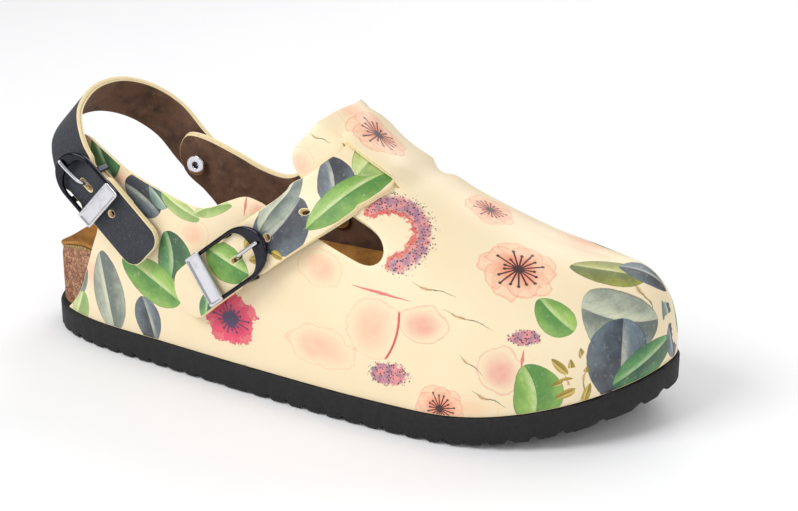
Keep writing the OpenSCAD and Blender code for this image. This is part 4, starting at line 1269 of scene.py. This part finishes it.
def rivet_cap(frame_of, low):
    """The washer-like cap on the barrel's outer end, with a domed face."""
    a = np.linspace(-np.pi / 2, np.pi / 2, 7)
    half = FLANGE_T / 2
    rim = [(FLANGE_R - half + half * math.cos(t), low + half + half * math.sin(t)) for t in a]
    mouth = RIVET_R - 0.1
    roll = [(mouth + 0.4 - 0.4 * math.sin(t), low + FLANGE_T + 0.12 - 0.35 * (1 - math.cos(t)))
            for t in np.linspace(0, np.pi / 2, 4)]
    start, dome = (mouth + 0.1, low), (FLANGE_R - 1.4, low + FLANGE_T + 0.1)
    return lathe([start] + rim + [dome] + roll + [start], frame_of)


def build_metal():
    for where, frame_of, span, bodies in (
            ("heel", heel_buckle_frame, HEEL_SPAN, ("heel_buckle", "heel_prong", "heel_strap")),
            ("instep", at_instep, INSTEP_SPAN, ("instep_buckle", "instep_prong", "clog"))):
        name = where + "_buckle_"
        make(name + "frame_look", buckle_frame(frame_of, span), bodies[0], [name + "frame"], "dark_nickel",
             [DARK_METAL], 50)
        make(name + "plate_look", buckle_plate(frame_of, span), bodies[0], [name + "plate"], "nickel",
             [BRIGHT_METAL])
        make(name + "prong_look", buckle_prong(frame_of), bodies[1], [name + "prong"], "nickel",
             [BRIGHT_METAL], 60)
        leather, slot = (CHARCOAL, "black_leather") if where == "heel" else (PRINT, "printed_leather")
        make(name + "loop_look", buckle_loop(frame_of), bodies[2], [name + "loop"], slot,
             [leather, CUT_EDGE, CUT_EDGE])
        low = -8 if where == "heel" else -3.6

        def at_rivet(local, frame_of=frame_of):
            return frame_of(np.asarray(local, float) + [-BAR_TO_RIVET, 0, 0])

        make(name + "rivet_look", hollow_rivet(at_rivet, low, 2 * LOOP_T + 0.6), "clog", [name + "rivet"],
             "nickel", [BRIGHT_METAL])
        make(name + "rivet_cap_look", rivet_cap(at_rivet, 2 * LOOP_T + 0.2), "clog", [name + "rivet_cap"],
             "nickel", [BRIGHT_METAL])
    pivot = hollow_rivet(heel_pivot_frame, INNER_PLANE - 6, INNER_PLANE + STRAP_T + 0.4)
    make("heel_pivot_rivet_look", pivot, "clog", ["heel_pivot_rivet"], "nickel", [BRIGHT_METAL])
    make("heel_pivot_rivet_cap_look", rivet_cap(heel_pivot_frame, INNER_PLANE + STRAP_T + 0.08), "clog",
         ["heel_pivot_rivet_cap"], "nickel", [BRIGHT_METAL])
    ends = [strap_end_frame(v) for v in STRAP_RIVETS]
    make("instep_strap_rivets_look", joined(*[hollow_rivet(end, -3.1, 3.4) for end in ends]), "clog",
         ["instep_strap_rivets"], "nickel", [BRIGHT_METAL])
    make("instep_strap_rivet_caps_look", joined(*[rivet_cap(end, 2.95) for end in ends]), "clog",
         ["instep_strap_rivet_caps"], "nickel", [BRIGHT_METAL])


# ---- The print -----------------------------------------------------------------------------
# Places are (station, v) on the upper, and millimetres along and across on the strap.

GREEN, FOREST, OLIVE, SAGE, NAVY, OCHRE, PALE, SLATE = range(8)
PEACH, ROSE, MAGENTA = range(3)


def printed(kind, station, v, angle, length, width, tone):
    return (kind, np.array([station, v]) * SHEET, angle, length, width, tone)


# The small leaves of a sprig: station, v, angle
OCHRE_SPRIG = [(6.95, -0.811, 131), (7.23, -0.79, 96), (7.1, -0.839, 91), (7.26, -0.886, 67),
               (6.99, -0.891, 189), (7.04, -0.948, 192), (7.29, -0.972, 62)]
INNER_PRINT = [
    printed("blossom", 3.7, 0.86, 10, 15, 13, PEACH + 0.7),
    printed("blossom", 6.9, 0.62, -15, 14, 13, PEACH + 0.5),
    printed("blossom", 5.3, 0.86, 0, 13, 12, MAGENTA + 0.6),
    printed("blossom", 6.1, 0.35, 30, 12, 11, ROSE + 0.4),
    printed("wash", 4.7, 0.78, 20, 13, 11, 0.3),
    printed("wash", 7.9, 0.7, 0, 12, 11, 0.9),
    printed("wash", 2.9, 0.82, 0, 11, 8, 1.3),
    printed("wash", 6.2, 0.9, 0, 15, 9, 2.3),
    printed("specks", 5.9, 0.66, 10, 12, 7, 0.4),
    printed("specks", 8.0, 0.4, -20, 9, 5, 0.7),
    printed("twig", 4.3, 0.88, 20, 9, 3, 0.5),
    printed("twig", 6.5, 0.84, -15, 9, 3, 0.5),
    printed("twig", 7.3, 0.9, 30, 8, 3, 1.5),
    printed("leaf", 2.3, 0.93, 100, 15, 9, SAGE + 0.5),
    printed("leaf", 2.75, 0.9, 60, 14, 8, GREEN + 0.5),
    printed("leaf", 3.05, 0.97, 20, 12, 6, NAVY + 0.4),
    printed("leaf", 4.25, 0.96, 110, 12, 8, FOREST + 0.4),
    printed("leaf", 4.6, 0.95, 60, 11, 7, PALE + 0.5),
    printed("leaf", 5.75, 0.95, 80, 12, 9, GREEN + 0.2),
    printed("leaf", 6.7, 0.94, 120, 13, 8, SLATE + 0.5),
    printed("leaf", 7.1, 0.8, 40, 12, 7, OLIVE + 0.5),
    printed("leaf", 7.7, 0.93, 70, 12, 9, SAGE + 0.3),
    printed("leaf", 8.2, 0.9, 110, 12, 8, NAVY + 0.4),
    printed("leaf", 8.5, 0.72, 60, 11, 7, GREEN + 0.6),
    printed("leaf", 5.45, 0.45, -40, 12, 6, SAGE + 0.6),
    printed("leaf", 7.2, 0.3, 20, 10, 6, FOREST + 0.5),
    printed("leaf", 2.5, 0.77, 150, 9, 7, FOREST + 0.3),
    printed("leaf", 3.4, 0.79, 10, 11, 4, PALE + 0.4),
]
UPPER_PRINT = [
    printed("wash", 5.03, -0.78, 0, 12, 13, 0.9),
    printed("wash", 5.5, -0.7, 11, 11, 8, 1.2),
    printed("wash", 4.56, -0.675, 12, 11, 8, 0.2),
    printed("wash", 4.6, -0.9, 3, 19, 9, 0.3),
    printed("wash", 6.32, -0.82, -8, 10, 10, 1.3),
    printed("wash", 3.38, -0.776, 16, 9, 7, 0.2),
    printed("wash", 3.98, -0.63, 22, 6, 7, 0.3),
    printed("wash", 4.36, -0.05, 29, 9, 8, 0.4),
    printed("wash", 4.25, -0.4, 64, 6, 8, 0.1),
    printed("wash", 2.5, -0.736, -9, 6, 6, 0.3),
    printed("wash", 2.05, -0.93, -11, 8, 8, 0.2),
    printed("wash", 7.0, 0.1, 20, 13, 9, 0.4),
    printed("wash", 6.0, -0.97, 0, 14, 6, 2.2),
    printed("blossom", 6.27, -0.31, 8, 17, 15, PEACH + 0.3),
    printed("blossom", 5.66, -0.02, 0, 12, 11, PEACH + 0.6),
    printed("blossom", 5.73, -0.98, 9, 11, 11, PEACH + 0.8),
    printed("blossom", 4.66, -0.06, 20, 15, 12, PEACH + 0.2),
    printed("blossom", 3.77, -0.915, 10, 14.5, 13, MAGENTA + 0.4),
    printed("specks", 5.22, -0.909, 11, 11, 6, 0.2),
    printed("specks", 6.52, -0.662, 4, 8, 4, 0.5),
    printed("specks", 5.04, -0.43, -35, 17, 17, 1.3),
    printed("twig", 5.53, -0.554, 9, 9, 2.6, 0.5),
    printed("twig", 5.91, -0.619, -4, 10, 2.4, 0.5),
    printed("twig", 6.01, -0.8, -30, 6, 2, 0.5),
    printed("twig", 6.22, -0.934, -25, 7, 3, 0.5),
    printed("twig", 4.3, -0.27, 17, 5, 2.2, 0.5),
    printed("twig", 5.07, -0.656, 10, 12, 4, 1.5),
    printed("twig", 6.53, -0.764, 80, 3.6, 4, 1.5),
    printed("twig", 3.87, -0.629, -70, 4.5, 4, 1.5),
    printed("twig", 8.34, -0.5, -80, 9, 4, 0.5),
    printed("twig", 7.12, -0.926, -64, 7, 2.6, 0.5),
    printed("twig", 7.25, -0.925, -106, 7, 2.6, 0.5),
    printed("leaf", 7.72, -0.227, 170, 14, -7, OLIVE + 0.5),
    printed("leaf", 6.84, -0.55, 139, 8.5, -6.5, GREEN + 0.3),
    printed("leaf", 7.8, -0.62, -25, 15.5, 13, SAGE + 0.15),
    printed("leaf", 7.72, -0.86, -108, 15, 13, NAVY + 0.3),
    printed("leaf", 8.18, -0.933, 12, 16, 7, FOREST + 0.5),
    printed("leaf", 8.8, -0.72, 80, 8, 5, SLATE + 0.4),
    printed("leaf", 8.8, -0.9, 98, 7, 4.5, NAVY + 0.5),
    printed("leaf", 8.7, -0.33, -57, 10, 5, NAVY + 0.7),
    printed("leaf", 6.7, -0.92, 88, 10.5, 9.5, GREEN + 0.1),
    printed("leaf", 3.15, -0.842, 101, 10, 9, FOREST + 0.1),
    printed("leaf", 2.88, -0.905, 165, 16, -9, GREEN + 0.5),
    printed("leaf", 2.3, -0.95, 101, 17, 9, SAGE + 0.5),
    printed("leaf", 2.82, -0.975, -74, 10, 7, NAVY + 0.6),
    printed("leaf", 1.75, -0.95, 60, 9, 5, SLATE + 0.5),
    printed("leaf", 1.72, -0.99, 60, 8, 6, PALE + 0.5),
    printed("leaf", 2.3, -0.71, 130, 10, 8, FOREST + 0.6),
    printed("leaf", 2.8, -0.75, 161, 10, 8.5, NAVY + 0.3),
    printed("leaf", 2.98, -0.735, 150, 6, 5, SLATE + 0.4),
    printed("leaf", 3.22, -0.735, -6, 10, 3.6, PALE + 0.1),
    printed("leaf", 3.56, -0.692, 40, 9, 3.6, PALE + 0.9),
    printed("leaf", 4.33, 0.15, 0, 4, 3, FOREST + 0.4),
] + [printed("leaf", u, v, angle, 4, 1.6, OCHRE + 0.6) for u, v, angle in OCHRE_SPRIG] + INNER_PRINT
STRAP_PRINT = [
    ("leaf", (-5, 0.5), -62, 10.5, 7.5, GREEN + 0.4),
    ("leaf", (-24, -8.5), 35, 6.5, 5, FOREST + 0.3),
    ("leaf", (23, 0.5), 10, 12, 10.5, NAVY + 0.2),
    ("leaf", (31, 8), 8, 12, 5, SAGE + 0.3),
    ("leaf", (49, 3), 60, 9, 7.5, NAVY + 0.2),
    ("leaf", (45, -5), 10, 20, 6.5, GREEN + 0.7),
    ("leaf", (9, 3), 20, 4, 1.8, OCHRE + 0.6),
    ("leaf", (8, -5), -30, 4, 1.8, OCHRE + 0.6),
    ("leaf", (16, -7.5), -60, 2.6, 1.6, OCHRE + 0.6),
    ("leaf", (72, 0), 5, 14, 8, PALE + 0.4),
    ("leaf", (84, -5), 20, 12, 6, FOREST + 0.6),
    ("leaf", (104, 3), -10, 15, 7, GREEN + 0.5),
    ("leaf", (127, -3), 160, 12, 6.5, SLATE + 0.5),
]

# ---- The picture ---------------------------------------------------------------------------


def build_floor():
    """A pale floor without an edge."""
    s = Shader("floor")
    material = s.finish(s.mix("fdfdfe", "fafafc", s.noise(60, 2)), 0.9)
    mesh = bpy.data.meshes.new("floor")
    mesh.from_pydata([(-6, -6, 0), (6, -6, 0), (6, 6, 0), (-6, 6, 0)], [], [(0, 1, 2, 3)])
    mesh.materials.append(material)
    floor = bpy.data.objects.new("floor", mesh)
    floor.location.z = -0.0004
    bpy.context.scene.collection.objects.link(floor)


def area_light(name, place, target, size, power, tint="ffffff"):
    light = bpy.data.lights.new(name, "AREA")
    light.shape = "RECTANGLE"
    light.size, light.size_y = size
    light.energy = power
    light.color = colour(tint)[:3]
    lamp = bpy.data.objects.new(name, light)
    lamp.location = place
    lamp.rotation_euler = (Vector(target) - Vector(place)).to_track_quat("-Z", "Y").to_euler()
    bpy.context.scene.collection.objects.link(lamp)


def build_studio():
    scene = bpy.context.scene
    scene.view_settings.view_transform = "Standard"
    scene.view_settings.look = "None"
    world = bpy.data.worlds.new("studio")
    world.use_nodes = True
    world.node_tree.nodes["Background"].inputs["Color"].default_value = (1, 1, 1, 1)
    world.node_tree.nodes["Background"].inputs["Strength"].default_value = 0.55
    scene.world = world
    target = (0, 0, 0.03)
    area_light("key", (-0.5, -0.75, 0.9), target, (0.7, 0.5), 8)
    area_light("fill", (0.9, -0.6, 0.6), target, (0.8, 0.8), 2.4)
    area_light("back", (0.1, 0.9, 0.8), target, (1.0, 0.4), 4)


def build_camera():
    """A long lens from the front right of the outer side, a little above."""
    azimuth, elevation, distance = math.radians(26.5), math.radians(20.6), 0.6768
    target = Vector((0.14007 + sole_low.x, 0.0315, 0.03617))
    back = Vector((math.sin(azimuth) * math.cos(elevation), -math.cos(azimuth) * math.cos(elevation),
                   math.sin(elevation)))
    camera = bpy.data.cameras.new("camera")
    camera.lens, camera.sensor_width = 75.9, 36
    view = bpy.data.objects.new("camera", camera)
    view.location = target + back * distance
    view.rotation_euler = (-back).to_track_quat("-Z", "Y").to_euler()
    bpy.context.scene.collection.objects.link(view)
    bpy.context.scene.camera = view


build_sole()
build_upper()
build_heel_strap()
build_instep_strap()
build_metal()
build_floor()
build_studio()
build_camera()
